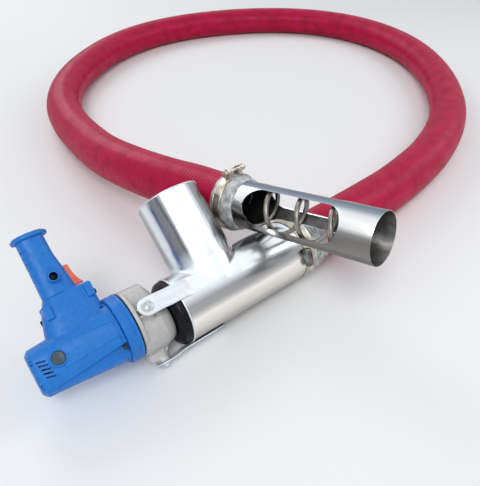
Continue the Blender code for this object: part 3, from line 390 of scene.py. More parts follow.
def add_painted_reflections(tree, wave, frame_matrix, radius, stops):
    """Painted reflections: soft bands of light and dark painted into the colour, running along a tube whose axis is
    the frame's X.
    """
    along = frame_matrix.to_3x3() @ Vector((1, 0, 0))
    across = along.cross(PAINTED_REFLECTION_SIDE).normalized()
    middle = across.dot(frame_matrix.translation)
    share = add_distance(tree, across, middle - radius, middle + radius)
    bent = add_math(tree, "MULTIPLY_ADD", wave.outputs["Fac"], PAINTED_REFLECTION_WAVE, share)
    centred = add_math(tree, "SUBTRACT", bent, PAINTED_REFLECTION_WAVE / 2)
    return add_ramp(tree, centred, stops).outputs["Color"]


# Steel that takes painted reflections in its colour; the noise varies its roughness and makes the painted bands wander
def steel_for_painted_reflections(name, rough, stretch):
    material, tree, shader = new_material(name, (0.8, 0.8, 0.8), 1)
    wave = add_noise(tree, 9, 3, stretch)
    vary_roughness(tree, shader, wave, rough)
    return material, tree, shader, wave


# The tee's steel: the main tube's painted reflections, blended into the spout's painted reflections along the spout
def tee_steel():
    material, tree, shader, wave = steel_for_painted_reflections("tee_steel", (0.16, 0.26), (0.6, 1.6, 1.6))
    spout_frame = SPOUT @ Matrix.Translation((SPOUT_AT, 0, 0)) @ Matrix.Rotation(math.pi / 2, 4, "Z")
    main = add_painted_reflections(tree, wave, ROOT, TEE_RADIUS, TEE_PAINTED_REFLECTIONS)
    side = add_painted_reflections(tree, wave, spout_frame, -SPOUT_RADIUS, SPOUT_PAINTED_REFLECTIONS)
    out = spout_frame.to_3x3() @ Vector((1, 0, 0))
    middle = out.dot(spout_frame.translation)
    share = add_distance(tree, out, middle + SPOUT_PAINTED_REFLECTIONS_FROM, middle + SPOUT_PAINTED_REFLECTIONS_FULL)
    mix = tree.nodes.new("ShaderNodeMix")
    mix.data_type = "RGBA"
    tree.links.new(share, mix.inputs["Factor"])
    tree.links.new(main, mix.inputs[6])
    tree.links.new(side, mix.inputs[7])
    tree.links.new(mix.outputs[2], shader.inputs["Base Color"])
    return material


# The inlet tube's steel, with painted reflections in light and dark bands along it
def inlet_steel():
    material, tree, shader, wave = steel_for_painted_reflections("inlet_steel", (0.14, 0.24), (1.6, 0.6, 1.6))
    colour = add_painted_reflections(tree, wave, INLET, INLET_RADIUS, INLET_PAINTED_REFLECTIONS)
    tree.links.new(colour, shader.inputs["Base Color"])
    return material


# For each: dark and light colours, metallic, roughness, scale of the variation, bump, stretch, specular
LOOKS = {
    "red_hose": ((0.37, 0.004, 0.034), (0.48, 0.006, 0.06), 0, (0.26, 0.38), 30, 0.08, (1, 1, 1), 0.15),
    "polished_steel": ((0.62, 0.63, 0.65), (0.84, 0.86, 0.88), 1, (0.2, 0.3), 14, 0.04, (0.25, 2.4, 2.4)),
    # worn_steel is near black; where it lines the bores of the tee and the inlet tube it is painted shade
    "worn_steel": ((0.08, 0.077, 0.074), (0.17, 0.166, 0.16), 1, (0.35, 0.5), 60, 0.1),
    "strap_steel": ((0.7, 0.74, 0.78), (0.84, 0.88, 0.92), 0.7, (0.3, 0.42), 30, 0.05, (0.3, 3, 3)),
    "spring_steel": ((0.2, 0.19, 0.17), (0.36, 0.34, 0.31), 1, (0.35, 0.5), 60, 0.2),
    "zinc_plate": ((0.42, 0.38, 0.3), (0.66, 0.62, 0.53), 1, (0.3, 0.45), 90, 0.2),
    "bright_zinc": ((0.5, 0.52, 0.54), (0.72, 0.74, 0.76), 1, (0.22, 0.36), 90, 0.1),
    "cast_aluminium": ((0.47, 0.455, 0.44), (0.53, 0.515, 0.5), 0.3, (0.45, 0.58), 160, 0.25),
    "blue_plastic": (
        (0.015, 0.165, 0.53), (0.019, 0.19, 0.61), 0, (0.36, 0.46), 150, 0.12, (1, 1, 1), 0.25,
    ),
    "orange_plastic": ((0.68, 0.12, 0.075), (0.8, 0.16, 0.1), 0, (0.35, 0.5), 150, 0.1),
    "black_rubber": (
        (0.004, 0.004, 0.005), (0.008, 0.008, 0.009), 0, (0.3, 0.45), 120, 0.1, (1, 1, 1), 0.15,
    ),
    "dark_zinc": ((0.09, 0.09, 0.095), (0.3, 0.3, 0.29), 1, (0.3, 0.45), 90, 0.2),
    "dark_cap": ((0.02, 0.045, 0.06), (0.03, 0.065, 0.085), 0, (0.4, 0.55), 120, 0.15),
    "grey_cuff": ((0.24, 0.24, 0.238), (0.6, 0.61, 0.61), 0.1, (0.3, 0.5), 70, 0.5),
    "copper": ((0.5, 0.2, 0.09), (0.62, 0.28, 0.13), 1, (0.3, 0.4), 60, 0.1, (8, 1, 1)),
    "laminated_iron": ((0.2, 0.2, 0.21), (0.36, 0.36, 0.37), 1, (0.4, 0.55), 60, 0.3, (20, 1, 1)),
    "carbon": ((0.02, 0.02, 0.02), (0.05, 0.05, 0.05), 0, (0.6, 0.8), 60, 0.2),
}
MATERIALS = {name: varied_material(name, *look) for name, look in LOOKS.items()}
# The two steels with painted reflections
MATERIALS["tee_steel"] = tee_steel()
MATERIALS["inlet_steel"] = inlet_steel()


def dress_cad_nodes():
    slots = {entry["node"]: entry["material_slot"] for entry in frame["record"]["subparts"]}
    for name, node in frame["nodes"].items():
        node.data.materials.clear()
        node.data.materials.append(MATERIALS[slots[name]])


# ---------------------------------------------------------------- mesh helpers
def add_piece(name, shape, material, place, replaces=(), slot=None, smooth=35, body="auger"):
    bmesh.ops.transform(shape, matrix=place, verts=shape.verts)
    bmesh.ops.recalc_face_normals(shape, faces=shape.faces)
    mesh = bpy.data.meshes.new(name)
    shape.to_mesh(mesh)
    shape.free()
    piece = bpy.data.objects.new(name, mesh)
    bpy.context.collection.objects.link(piece)
    mesh.materials.append(MATERIALS[material])
    mesh.shade_smooth()
    mesh.set_sharp_from_angle(angle=math.radians(smooth))
    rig.ride(piece, body)
    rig.slot(piece, slot or material)
    if replaces:
        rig.replaces(piece, *replaces)
    return piece


def placed(shape, place):
    if place is not None:
        bmesh.ops.transform(shape, matrix=place, verts=shape.verts)
    return shape


def add_round(shape, x, radius, angle):
    """One corner at a radius and an angle about the X axis."""
    return shape.verts.new((x, radius * math.cos(angle), radius * math.sin(angle)))


def join_rings(shape, rings, closed=False):
    """Faces between neighbouring rings, and between the last and the first where the rings close."""
    count = len(rings[0])
    following = rings[1:] + rings[:1] if closed else rings[1:]
    for first, second in zip(rings, following):
        for i in range(count):
            j = (i + 1) % count
            shape.faces.new([first[i], first[j], second[j], second[i]])


def cap_ends(shape, rings):
    shape.faces.new(rings[0])
    shape.faces.new(rings[-1])


def turned(outline, sides=96, closed=True, place=None, turn=0.0):
    """Turns an outline of (x, radius) about X. A closed one makes a ring, an open one ends on the axis."""
    shape = bmesh.new()
    rings = []
    for x, radius in outline:
        count = sides if radius else 1
        ring = []
        for i in range(count):
            angle = turn + math.tau * i / sides
            ring.append(add_round(shape, x, radius, angle))
        rings.append(ring)
    pairs = list(zip(rings, rings[1:]))
    if closed:
        pairs.append((rings[-1], rings[0]))
    for first, second in pairs:
        for i in range(sides):
            j = (i + 1) % sides
            corners = [first[i % len(first)], first[j % len(first)]]
            corners += [second[j % len(second)], second[i % len(second)]]
            corners = list(dict.fromkeys(corners))
            if len(corners) > 2:
                shape.faces.new(corners)
    return placed(shape, place)


def rod(x0, x1, radius, sides=48, place=None, turn=0.0, far_radius=None):
    far = radius if far_radius is None else far_radius
    return turned([(x0, 0), (x0, radius), (x1, far), (x1, 0)], sides, False, place, turn)


def soften(shape, offset, segments=2, angle=28):
    """Rounds every edge that is sharper than the angle."""
    bmesh.ops.recalc_face_normals(shape, faces=shape.faces)
    limit = math.radians(angle)
    sharp = [e for e in shape.edges if len(e.link_faces) == 2 and e.calc_face_angle() > limit]
    bmesh.ops.bevel(shape, geom=sharp, offset=offset, segments=segments, affect="EDGES", profile=0.5)
    return shape


def box(low, high, bevel=0.0, place=None):
    shape = bmesh.new()
    bmesh.ops.create_cube(shape, size=1.0)
    for vert in shape.verts:
        vert.co = Vector(low[k] + (vert.co[k] + 0.5) * (high[k] - low[k]) for k in range(3))
    if bevel:
        soften(shape, bevel, 3)
    return placed(shape, place)


def prism(outline, low, high, axis, bevel=0.0, place=None):
    """Extrudes a flat outline along X, Y or Z (axis 0, 1 or 2) from low to high."""
    shape = bmesh.new()
    others = [k for k in range(3) if k != axis]
    loops = []
    for level in (low, high):
        loop = []
        for a, b in outline:
            point = [0.0, 0.0, 0.0]
            point[axis], point[others[0]], point[others[1]] = level, a, b
            loop.append(shape.verts.new(point))
        loops.append(loop)
    cap_ends(shape, loops)
    join_rings(shape, loops)
    if bevel:
        soften(shape, bevel, 3)
    return placed(shape, place)


def loft(sections, axis, sides=64, place=None):
    """Joins rounded sections (level, centre a, centre b, half a, half b, squareness) along an axis."""
    shape = bmesh.new()
    others = [k for k in range(3) if k != axis]
    loops = []
    for level, mid_a, mid_b, half_a, half_b, square in sections:
        loop = []
        for i in range(sides):
            angle = math.tau * (i + 0.5) / sides
            c, s = math.cos(angle), math.sin(angle)
            point = [0.0, 0.0, 0.0]
            point[axis] = level
            point[others[0]] = mid_a + half_a * math.copysign(abs(c) ** (2 / square), c)
            point[others[1]] = mid_b + half_b * math.copysign(abs(s) ** (2 / square), s)
            loop.append(shape.verts.new(point))
        loops.append(loop)
    cap_ends(shape, loops)
    join_rings(shape, loops)
    return placed(shape, place)


def rounded_slot(length, half_width, steps=12):
    """Outline of a slot with round ends, centred on the origin and running along its first axis."""
    reach = length / 2 - half_width
    points = []
    for side in (1, -1):
        for i in range(steps + 1):
            angle = math.pi * (i / steps - 0.5)
            along = reach + half_width * math.cos(angle)
            points.append((side * along, side * half_width * math.sin(angle)))
    return points


def as_object(shape):
    bmesh.ops.recalc_face_normals(shape, faces=shape.faces)
    mesh = bpy.data.meshes.new("work")
    shape.to_mesh(mesh)
    shape.free()
    item = bpy.data.objects.new("work", mesh)
    bpy.context.collection.objects.link(item)
    return item


def sculpt(base, joins=(), cuts=(), voxel=0.0, relax=0):
    """Adds and cuts shapes, then remeshes and relaxes the result where asked, for soft corners."""
    item = as_object(base)
    items = [item]
    groups = []
    for operation, shapes in (("UNION", joins), ("DIFFERENCE", cuts)):
        if not shapes:
            continue
        group = bpy.data.collections.new("helpers")
        groups.append(group)
        for shape in shapes:
            helper = as_object(shape)
            items.append(helper)
            group.objects.link(helper)
        modifier = item.modifiers.new(operation, "BOOLEAN")
        modifier.operation = operation
        modifier.solver = "EXACT"
        modifier.operand_type = "COLLECTION"
        modifier.collection = group
    if voxel:
        modifier = item.modifiers.new("remesh", "REMESH")
        modifier.mode = "VOXEL"
        modifier.voxel_size = voxel
    if relax:
        modifier = item.modifiers.new("relax", "SMOOTH")
        modifier.factor = 0.5
        modifier.iterations = relax
    evaluated = item.evaluated_get(bpy.context.evaluated_depsgraph_get())
    result = bmesh.new()
    result.from_mesh(evaluated.to_mesh())
    evaluated.to_mesh_clear()
    for used in items:
        bpy.data.objects.remove(used, do_unlink=True)
    for group in groups:
        bpy.data.collections.remove(group)
    return result


FACES_INWARD = -0.6  # below this, a face's normal counts as pointing at the axis


def paint_bore_shade(piece, frame_matrix, radius):
    """Painted shade in the bore: gives the bore's faces, up to a radius from a frame's X axis, the near-black
    worn_steel material.
    """
    mesh = piece.data
    mesh.materials.append(MATERIALS["worn_steel"])
    to_frame = frame_matrix.inverted()
    turn = to_frame.to_3x3()
    for face in mesh.polygons:
        middle = to_frame @ face.center
        out = Vector((0, middle.y, middle.z))
        if out.length < radius and out.normalized().dot(turn @ face.normal) < FACES_INWARD:
            face.material_index = 1


def roll_about_x(angle):
    return Matrix.Rotation(angle, 4, "X")


def moved(x=0.0, y=0.0, z=0.0):
    return Matrix.Translation((x, y, z))


ALONG_Y = Matrix.Rotation(math.pi / 2, 4, "Z")
ALONG_Z = Matrix.Rotation(-math.pi / 2, 4, "Y")


# ---------------------------------------------------------------- tee
RIM_RADIUS = 0.0014
RIM_IN = 0.0008
RIM_SINK = 0.0006


def make_tee():
    """Main tube and spout welded together: the seam between them is dressed to a soft valley."""
    over = 0.006
    weld_reach = 0.006
    at_spout = moved(SPOUT_AT) @ ALONG_Y
    tube = rod(-over, TEE_LENGTH + over, TEE_RADIUS, 128)
    spout = rod(0, SPOUT_LENGTH + over, SPOUT_RADIUS, 128, at_spout)
    shape = sculpt(tube, [spout], voxel=0.0022, relax=8)
    for vert in shape.verts:
        x, y, z = vert.co
        off_tube = math.hypot(y, z) - TEE_RADIUS
        off_spout = math.hypot(x - SPOUT_AT, z) - SPOUT_RADIUS
        if y < 0 or off_spout > weld_reach:
            if -over / 2 < x < TEE_LENGTH + over / 2:
                fit = TEE_RADIUS / math.hypot(y, z)
                vert.co = (x, y * fit, z * fit)
        elif off_tube > weld_reach and y < SPOUT_LENGTH + over / 2:
            fit = SPOUT_RADIUS / math.hypot(x - SPOUT_AT, z)
            vert.co = (SPOUT_AT + (x - SPOUT_AT) * fit, y, z * fit)
    wide = 0.2
    cuts = [
        rod(-0.02, TEE_LENGTH + 0.02, TEE_RADIUS - TEE_WALL, 128),
        rod(0, SPOUT_LENGTH + 0.02, SPOUT_RADIUS - TEE_WALL, 128, at_spout),
        box((-0.1, -wide, -wide), (0, wide, wide)),
        box((TEE_LENGTH, -wide, -wide), (TEE_LENGTH + 0.1, wide, wide)),
        box((-wide, SPOUT_LENGTH, -wide), (0.4, SPOUT_LENGTH + 0.1, wide)),
    ]
    shape = sculpt(shape, cuts=cuts)
    # The tee's steel carries painted reflections in its colour; its slot is polished steel
    tee = add_piece("tee_welded", shape, "tee_steel", SPOUT, ["tee_tube"], "polished_steel", 40)
    # The tee's bore takes the near-black worn_steel as painted shade
    paint_bore_shade(tee, SPOUT @ at_spout, SPOUT_RADIUS - TEE_WALL + 0.0002)
    # The rims are real rolled edges, and their brighter strap steel is a painted highlight line round each mouth
    for name, at, radius, place in (
        ("tee_rim", 0.0, TEE_RADIUS, SPOUT),
        ("spout_rim", SPOUT_LENGTH - 0.0016, SPOUT_RADIUS, SPOUT @ at_spout),
    ):
        outline = []
        for i in range(12):
            angle = math.tau * i / 12
            x = at + RIM_IN + RIM_RADIUS * math.cos(angle)
            outline.append((x, radius - RIM_SINK + RIM_RADIUS * math.sin(angle)))
        add_piece(name, turned(outline, 128), "strap_steel", place, slot="polished_steel")


def slotted_band(x0, x1, inner, outer, slots):
    """A worm-drive band: its edges stand up a little and a row of slots runs round its middle."""
    stations = [
        (x0, inner), (x0, outer), (x0 + 0.0008, outer + 0.0004), (x0 + 0.0022, outer + 0.0004),
        (x0 + 0.003, outer), (x0 + 0.0062, outer), (x0 + 0.0066, None), (x1 - 0.0066, None),
        (x1 - 0.0062, outer), (x1 - 0.003, outer), (x1 - 0.0022, outer + 0.0004),
        (x1 - 0.0008, outer + 0.0004), (x1, outer), (x1, inner),
    ]
    sides = slots * 4
    shape = bmesh.new()
    rings = []
    for x, radius in stations:
        ring = []
        for i in range(sides):
            angle = math.tau * i / sides
            here = radius
            if radius is None:
                here = outer - (0.0007 if i % 4 < 2 else 0)
            ring.append(add_round(shape, x, here, angle))
        rings.append(ring)
    join_rings(shape, rings, True)
    return shape


def wrinkled_sleeve(stations, inner, depth, sides=160):
    """A sleeve about X whose outer skin is wrinkled. A station is (x, outer radius, share of wrinkles)."""
    shape = bmesh.new()
    rings = []
    steps = 8
    fine = []
    for (xa, ra, wa), (xb, rb, wb) in zip(stations, stations[1:]):
        for k in range(steps):
            share = k / steps
            fine.append((xa + (xb - xa) * share, ra + (rb - ra) * share, wa + (wb - wa) * share))
    fine.append(stations[-1])
    for x, radius, share in fine:
        ring = []
        for i in range(sides):
            angle = math.tau * i / sides
            c, s = math.cos(angle), math.sin(angle)
            fold = noise.noise(Vector((x * 420, c * 7, s * 7)))
            fold += 0.6 * noise.noise(Vector((x * 900, c * 16, s * 16)))
            here = radius + depth * share * fold
            ring.append(shape.verts.new((x, here * c, here * s)))
        rings.append(ring)
    for x in (fine[-1][0], fine[0][0]):
        ring = []
        for i in range(sides):
            angle = math.tau * i / sides
            ring.append(add_round(shape, x, inner, angle))
        rings.append(ring)
    join_rings(shape, rings, True)
    return shape


def hex_bolt(reach_low, reach_high, head_low, head_high, shank, head, place=None):
    """A hexagon bolt along X with rolled threads and a chamfered head."""
    outline = [(reach_low, 0)]
    thread_step, root_share, washer_face_share = 0.0005, 0.9, 0.74
    count = round((reach_high - reach_low) / thread_step)
    for i in range(count + 1):
        x = reach_low + (reach_high - reach_low) * i / count
        outline.append((x, shank if i % 2 else shank * root_share))
    outline.append((reach_high, 0))
    shape = turned(outline, 32, False)
    hexagon = soften(rod(head_low, head_high, head, 6), 0.0005, 2)
    ring = rod(head_low, head_high + 0.0003, head * washer_face_share, 40)
    shape = sculpt(shape, [hexagon, ring])
    return placed(shape, place)


CUFF_START = TEE_LENGTH - 0.044
CUFF_LIP = TEE_LENGTH + 0.038
BAND_WIDTH = 0.024
BAND_SLOTS = 84
WORM_ROLL = math.radians(68)


def make_tee_end():
    inner = HOSE_RADIUS + GAP
    outline = [(CUFF_START, inner), (CUFF_LIP, inner), (CUFF_LIP, inner + 0.0028)]
    ribs = 5
    for i in range(ribs):
        x = CUFF_LIP - 0.0015 - 0.0070 * i
        radius = inner + 0.0034 + (TEE_RADIUS - inner - 0.0040) * i / (ribs - 1)
        outline += [
            (x, radius - 0.0008), (x - 0.0008, radius), (x - 0.0030, radius), (x - 0.0038, radius - 0.0009),
        ]
    outline += [(TEE_LENGTH + GAP, TEE_RADIUS - 0.0004), (TEE_LENGTH + GAP, TEE_RADIUS - TEE_WALL - GAP)]
    outline += [(CUFF_START, TEE_RADIUS - TEE_WALL - GAP)]
    add_piece("tee_cuff_ribbed", turned(outline, 128), "grey_cuff", ROOT, ["tee_cuff"])
    low = TEE_RADIUS + GAP
    middle = TEE_LENGTH - BAND_WIDTH / 2 - 0.002
    start, end = middle - BAND_WIDTH / 2, middle + BAND_WIDTH / 2
    band = slotted_band(start, end, low, low + 0.0010, BAND_SLOTS)
    add_piece("tee_band_slotted", band, "zinc_plate", ROOT, ["tee_clamp_band"])
    seat = low + BAND_THICKNESS
    worm = roll_about_x(WORM_ROLL)
    half = 0.0140
    case_from, case_to = start - 0.007, start + 0.008
    case_middle = (case_from + case_to) / 2
    case = box((case_from, -half - 0.003, low - 0.001), (case_to, half + 0.003, seat + 0.0105), 0.0035)
    screw_at = moved(case_middle, 0, seat + 0.0056) @ ALONG_Y
    flutes = []
    for i in range(3):
        at = case_middle + 0.0036 * (i - 1)
        flutes.append(box((at - 0.0007, -0.1, seat + 0.0094), (at + 0.0007, 0.1, seat + 0.02)))
    hole = rod(-half - 0.02, half + 0.02, 0.0040, 32, screw_at)
    case = sculpt(case, cuts=[hole, *flutes, box((0, -0.1, -0.1), (0.4, 0.1, low + 0.0001))])
    add_piece("tee_worm_case", case, "dark_zinc", ROOT @ worm, ["tee_clamp_housing"], "zinc_plate")
    screw = hex_bolt(-half - 0.004, half + 0.002, -half - 0.009, -half - 0.0015, 0.0035, 0.0054, screw_at)
    slot = box(
        (case_middle - 0.0006, -half - 0.012, seat), (case_middle + 0.0006, -half - 0.0078, seat + 0.012),
    )
    add_piece(
        "tee_worm_screw", sculpt(screw, cuts=[slot]), "zinc_plate", ROOT @ worm, ["tee_clamp_screw"],
    )


# ---------------------------------------------------------------- hose
def hose_route():
    """Points that the hose follows: out of the tee, one loop on the ground, and up to the inlet's cuff."""
    ground = HOSE_RADIUS + GAP
    turn_in = INLET_START - INLET_ALONG * (INLET_TUCK + GAP)
    points = [
        (HOSE_START, 0.0, AXIS_HEIGHT),
        (HOSE_START + 0.070, 0.0, AXIS_HEIGHT),
        (0.410, 0.004, 0.058),
        (0.500, 0.011, 0.054),
        (0.600, 0.020, ground),
        (0.700, 0.035, ground),
        (0.800, 0.057, ground),
        (0.929, 0.103, ground),
        (1.045, 0.163, ground),
        (1.148, 0.239, ground),
        (1.240, 0.325, ground),
        (1.323, 0.422, ground),
        (1.395, 0.532, ground),
        (1.449, 0.659, ground),
        (1.475, 0.800, ground),
        (1.462, 0.947, ground),
        (1.405, 1.085, ground),
        (1.309, 1.199, ground),
        (1.190, 1.284, ground),
        (1.058, 1.344, ground),
        (0.921, 1.378, ground),
        (0.781, 1.382, ground),
        (0.646, 1.354, ground),
        (0.522, 1.297, ground),
        (0.414, 1.221, ground),
        (0.318, 1.131, ground),
        (0.239, 1.025, ground),
        (0.183, 0.905, 0.0520),
        (0.153, 0.775, 0.0580),
        (0.138, 0.640, 0.0700),
        (0.130, 0.510, 0.0870),
        (0.139, 0.390, 0.1040),
        (0.161, 0.280, 0.1170),
        (0.182, 0.200, 0.1277),
    ]
    shift = Vector((ORIGIN_X, ORIGIN_Y, 0))
    route = [Vector(point) - shift for point in points]
    for back in (0.045, 0.0):
        route.append(turn_in - INLET_ALONG * back - shift)
    return route


def smooth_points(route, spacing):
    """Points at even steps along a curve that passes through every point of the route."""
    steps = 48
    ends = [route[0] * 2 - route[1]] + route + [route[-1] * 2 - route[-2]]
    fine = []
    for p0, p1, p2, p3 in zip(ends, ends[1:], ends[2:], ends[3:]):
        for i in range(steps):
            t = i / steps
            a = p1 * 2 + (p2 - p0) * t
            b = (p0 * 2 - p1 * 5 + p2 * 4 - p3) * t * t
            c = (p1 * 3 - p0 - p2 * 3 + p3) * t * t * t
            fine.append((a + b + c) * 0.5)
    fine.append(route[-1])
    lengths = [0.0]
    for first, second in zip(fine, fine[1:]):
        lengths.append(lengths[-1] + (second - first).length)
    count = round(lengths[-1] / spacing)
    points = []
    at = 0
    for i in range(count + 1):
        want = lengths[-1] * i / count
        while at < len(fine) - 2 and lengths[at + 1] < want:
            at += 1
        share = (want - lengths[at]) / (lengths[at + 1] - lengths[at])
        points.append(fine[at].lerp(fine[at + 1], share))
    return points, lengths[-1]


RIB_PITCH = 0.0076
RIB_HEIGHT = 0.0010
RINGS_PER_RIB = 4
HOSE_SIDES = 40
OPEN_END_RINGS = 8


def make_hose():
    """A ribbed hose: the rib winds round it as one fine screw thread. Its ends are open, with a black cup a little way
    into each as painted shade inside.
    """
    points, length = smooth_points(hose_route(), RIB_PITCH / RINGS_PER_RIB)
    shape = bmesh.new()
    rings = []
    bore = HOSE_RADIUS - HOSE_WALL
    frames = []
    for i, point in enumerate(points):
        before, after = points[max(i - 1, 0)], points[min(i + 1, len(points) - 1)]
        along = (after - before).normalized()
        across = along.cross(Vector((0, 0, 1))).normalized()
        frames.append((point, across, across.cross(along), along))

    def add_ring(place, radii):
        point, across, up, _ = place
        ring = []
        for k in range(HOSE_SIDES):
            angle = math.tau * k / HOSE_SIDES
            out = across * math.cos(angle) + up * math.sin(angle)
            ring.append(shape.verts.new(point + out * radii[k]))
        rings.append(ring)

    inside = [bore] * HOSE_SIDES
    add_ring(frames[OPEN_END_RINGS], inside)
    add_ring(frames[0], inside)
    for i, place in enumerate(frames):
        radii = []
        for k in range(HOSE_SIDES):
            crest = 0.5 + 0.5 * math.cos(math.tau * (i / RINGS_PER_RIB + k / HOSE_SIDES))
            radii.append(HOSE_RADIUS - RIB_HEIGHT * (1 - crest))
        add_ring(place, radii)
    add_ring(frames[-1], inside)
    add_ring(frames[-1 - OPEN_END_RINGS], inside)
    join_rings(shape, rings)
    cap_ends(shape, rings)
    hose = add_piece("hose_ribbed", shape, "red_hose", Matrix.Identity(4), ["hose"], smooth=60)
    shade_cups = []
    for name, (point, _, up, along), way in (
        ("hose_shade_cup_tee", frames[0], 1),
        ("hose_shade_cup_inlet", frames[-1], -1),
    ):
        place = axes_matrix(point, along * way, up)
        # A black cup a little way into each open end: painted shade inside the hose
        shade_cup = turned([
            (0.0009, bore - 0.0003), (0.0009, bore - 0.0013), (0.0120, bore - 0.0022), (0.0126, 0),
            (0.0134, 0), (0.0134, bore - 0.0003),
        ], 64)
        shade_cups.append(add_piece(name, shade_cup, "black_rubber", place, slot="red_hose"))
    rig.cord(
        hose,
        exit=points[0],
        length=length,
        diameter=2 * HOSE_RADIUS,
        far_end="object",
        stiffness="stiff",
        lay="loose",
        path=points,
        with_pieces=shade_cups,
    )


# ---------------------------------------------------------------- inlet
INLET_CUFF_BACK = 0.047
INLET_BAND_FROM = -0.041
INLET_BAND_TO = -0.021
CLAMP_TURN = roll_about_x(math.radians(-62))
CLAMP_HOLE_RADIUS = 0.0033
TAB_TURNS = (-112, -12)


def make_inlet():
    """Inlet tube with three long windows, in its wrinkled cuff."""
    outline = [
        (-INLET_TUCK, INLET_RADIUS - INLET_WALL), (-INLET_TUCK, INLET_RADIUS),
        (INLET_LENGTH - 0.0005, INLET_RADIUS), (INLET_LENGTH, INLET_RADIUS - 0.0004),
        (INLET_LENGTH, INLET_RADIUS - INLET_WALL + 0.0004), (
            INLET_LENGTH - 0.0005, INLET_RADIUS - INLET_WALL,
        ),
    ]
    length = WINDOW_TO - WINDOW_FROM
    middle = (WINDOW_FROM + WINDOW_TO) / 2
    windows = []
    for i in range(WINDOW_COUNT):
        place = roll_about_x(math.tau * i / WINDOW_COUNT) @ moved(middle)
        slot = rounded_slot(length, WINDOW_HALF_WIDTH, 24)
        windows.append(prism(slot, 0.004, INLET_RADIUS * 1.3, 2, 0, place))
    tube = sculpt(turned(outline, 180), cuts=windows)
    # The inlet tube's steel carries painted reflections in its colour; its slot is polished steel
    steel = add_piece("inlet_steel_tube", tube, "inlet_steel", INLET, ["inlet_tube"], "polished_steel", 40)
    # The inlet tube's bore takes the near-black worn_steel as painted shade
    paint_bore_shade(steel, INLET, INLET_RADIUS - INLET_WALL + 0.0002)
    over_hose = HOSE_RADIUS + GAP
    over_tube = INLET_RADIUS + GAP
    widest = over_hose + 0.0022
    stations = [
        (-INLET_CUFF_BACK, over_hose + 0.0014, 0.2), (INLET_BAND_FROM, widest - 0.0006, 0.2),
        (INLET_BAND_TO + 0.0005, widest - 0.0004, 0.2), (INLET_BAND_TO + 0.002, widest + 0.0002, 1),
        (-0.022, widest, 1), (-0.012, over_tube + 0.0058, 1), (-0.003, over_tube + 0.0036, 0.8),
        (0.0, over_tube + 0.0012, 0.3),
    ]
    sleeve = wrinkled_sleeve(stations, over_tube, 0.0013)
    room = rod(-0.1, -INLET_TUCK - GAP, over_hose - 0.0001, 96)
    add_piece(
        "inlet_cuff_wrinkled", sculpt(sleeve, cuts=[room]), "grey_cuff", INLET, ["inlet_cuff"], smooth=60,
    )


def make_inlet_clamp():
    """T-bolt clamp: band with two loops and a welded tab, a threaded bolt, its trunnion and its nut."""
    low = HOSE_RADIUS + GAP + 0.0022 + GAP
    top = low + BAND_THICKNESS
    x0, x1 = INLET_BAND_FROM, INLET_BAND_TO
    band = turned([
        (x0, low), (x0, top), (x0 + 0.001, top + 0.0007), (x0 + 0.0024, top + 0.0007), (x0 + 0.0032, top),
        (x1 - 0.0032, top), (x1 - 0.0024, top + 0.0007), (x1 - 0.001, top + 0.0007), (x1, top), (x1, low),
    ], 144)
    gap_half = 0.0085
    notch = box(
        (x0 - 0.01, -gap_half - 0.002, low - 0.01), (x1 + 0.01, gap_half + 0.002, top + 0.01), 0, CLAMP_TURN
    )
    middle = (x0 + x1) / 2
    loops = []
    for side in (-1, 1):
        centre = CLAMP_TURN @ moved(0, side * (gap_half + 0.0045), low + 0.0072)
        loops.append(rod(x0 + 0.0004, x1 - 0.0004, 0.0052, 40, centre))
        foot_low = (x0 + 0.0004, side * (gap_half + 0.0045) - 0.0045, low - 0.0060)
        foot_high = (x1 - 0.0004, side * (gap_half + 0.0045) + 0.0045, low + 0.0060)
        loops.append(box(foot_low, foot_high, 0.001, CLAMP_TURN))
    for turn in TAB_TURNS:
        tab = roll_about_x(math.radians(turn))
        tab_low = (x0 + 0.0036, -0.0085, low + 0.0004)
        tab_high = (x1 - 0.0036, 0.0085, top + 0.0016)
        loops.append(box(tab_low, tab_high, 0.0008, tab))
        for spot in (-0.0045, 0.0045):
            at = tab @ moved(middle, spot, 0) @ ALONG_Z
            loops.append(rod(top, top + 0.0021, 0.0024, 24, at))
    bolt_place = CLAMP_TURN @ moved(middle, 0, low + 0.0072) @ ALONG_Y
    room = rod(x0 - 0.01, x1 + 0.01, low - 0.00005, 144)
    hole = rod(-0.03, 0.03, CLAMP_HOLE_RADIUS, 24, bolt_place)
    relief = box((middle - 0.0045, -0.03, low + 0.0004), (middle + 0.0045, 0.03, low + 0.03), 0, CLAMP_TURN)
    relief_keep = sculpt(relief, cuts=[rod(x0 - 0.01, x1 + 0.01, top + 0.0004, 96)])
    band = sculpt(sculpt(band, cuts=[notch]), loops)
    band = sculpt(band, cuts=[room, hole, relief_keep])
    add_piece("inlet_band_looped", band, "zinc_plate", INLET, ["inlet_clamp_band"])
    reach = gap_half + 0.009
    bolt = hex_bolt(
        -reach - 0.001, reach + 0.017, -reach - 0.0058, -reach - GAP, 0.0029, 0.0058, bolt_place,
    )
    add_piece("inlet_t_bolt", bolt, "zinc_plate", INLET, ["inlet_clamp_bolt"])
    trunnion = soften(rod(reach + GAP, reach + 0.0070, 0.0066, 40), 0.0008, 3)
    trunnion = sculpt(trunnion, cuts=[rod(0, 0.1, CLAMP_HOLE_RADIUS, 32)])
    add_piece("inlet_trunnion_block", trunnion, "zinc_plate", INLET @ bolt_place, ["inlet_clamp_trunnion"])
    nut = soften(rod(reach + 0.0073, reach + 0.0130, 0.0058, 6), 0.0005, 2)
    nut = sculpt(nut, cuts=[rod(0, 0.1, CLAMP_HOLE_RADIUS, 32)])
    add_piece("inlet_hex_nut", nut, "zinc_plate", INLET @ bolt_place, ["inlet_clamp_nut"])


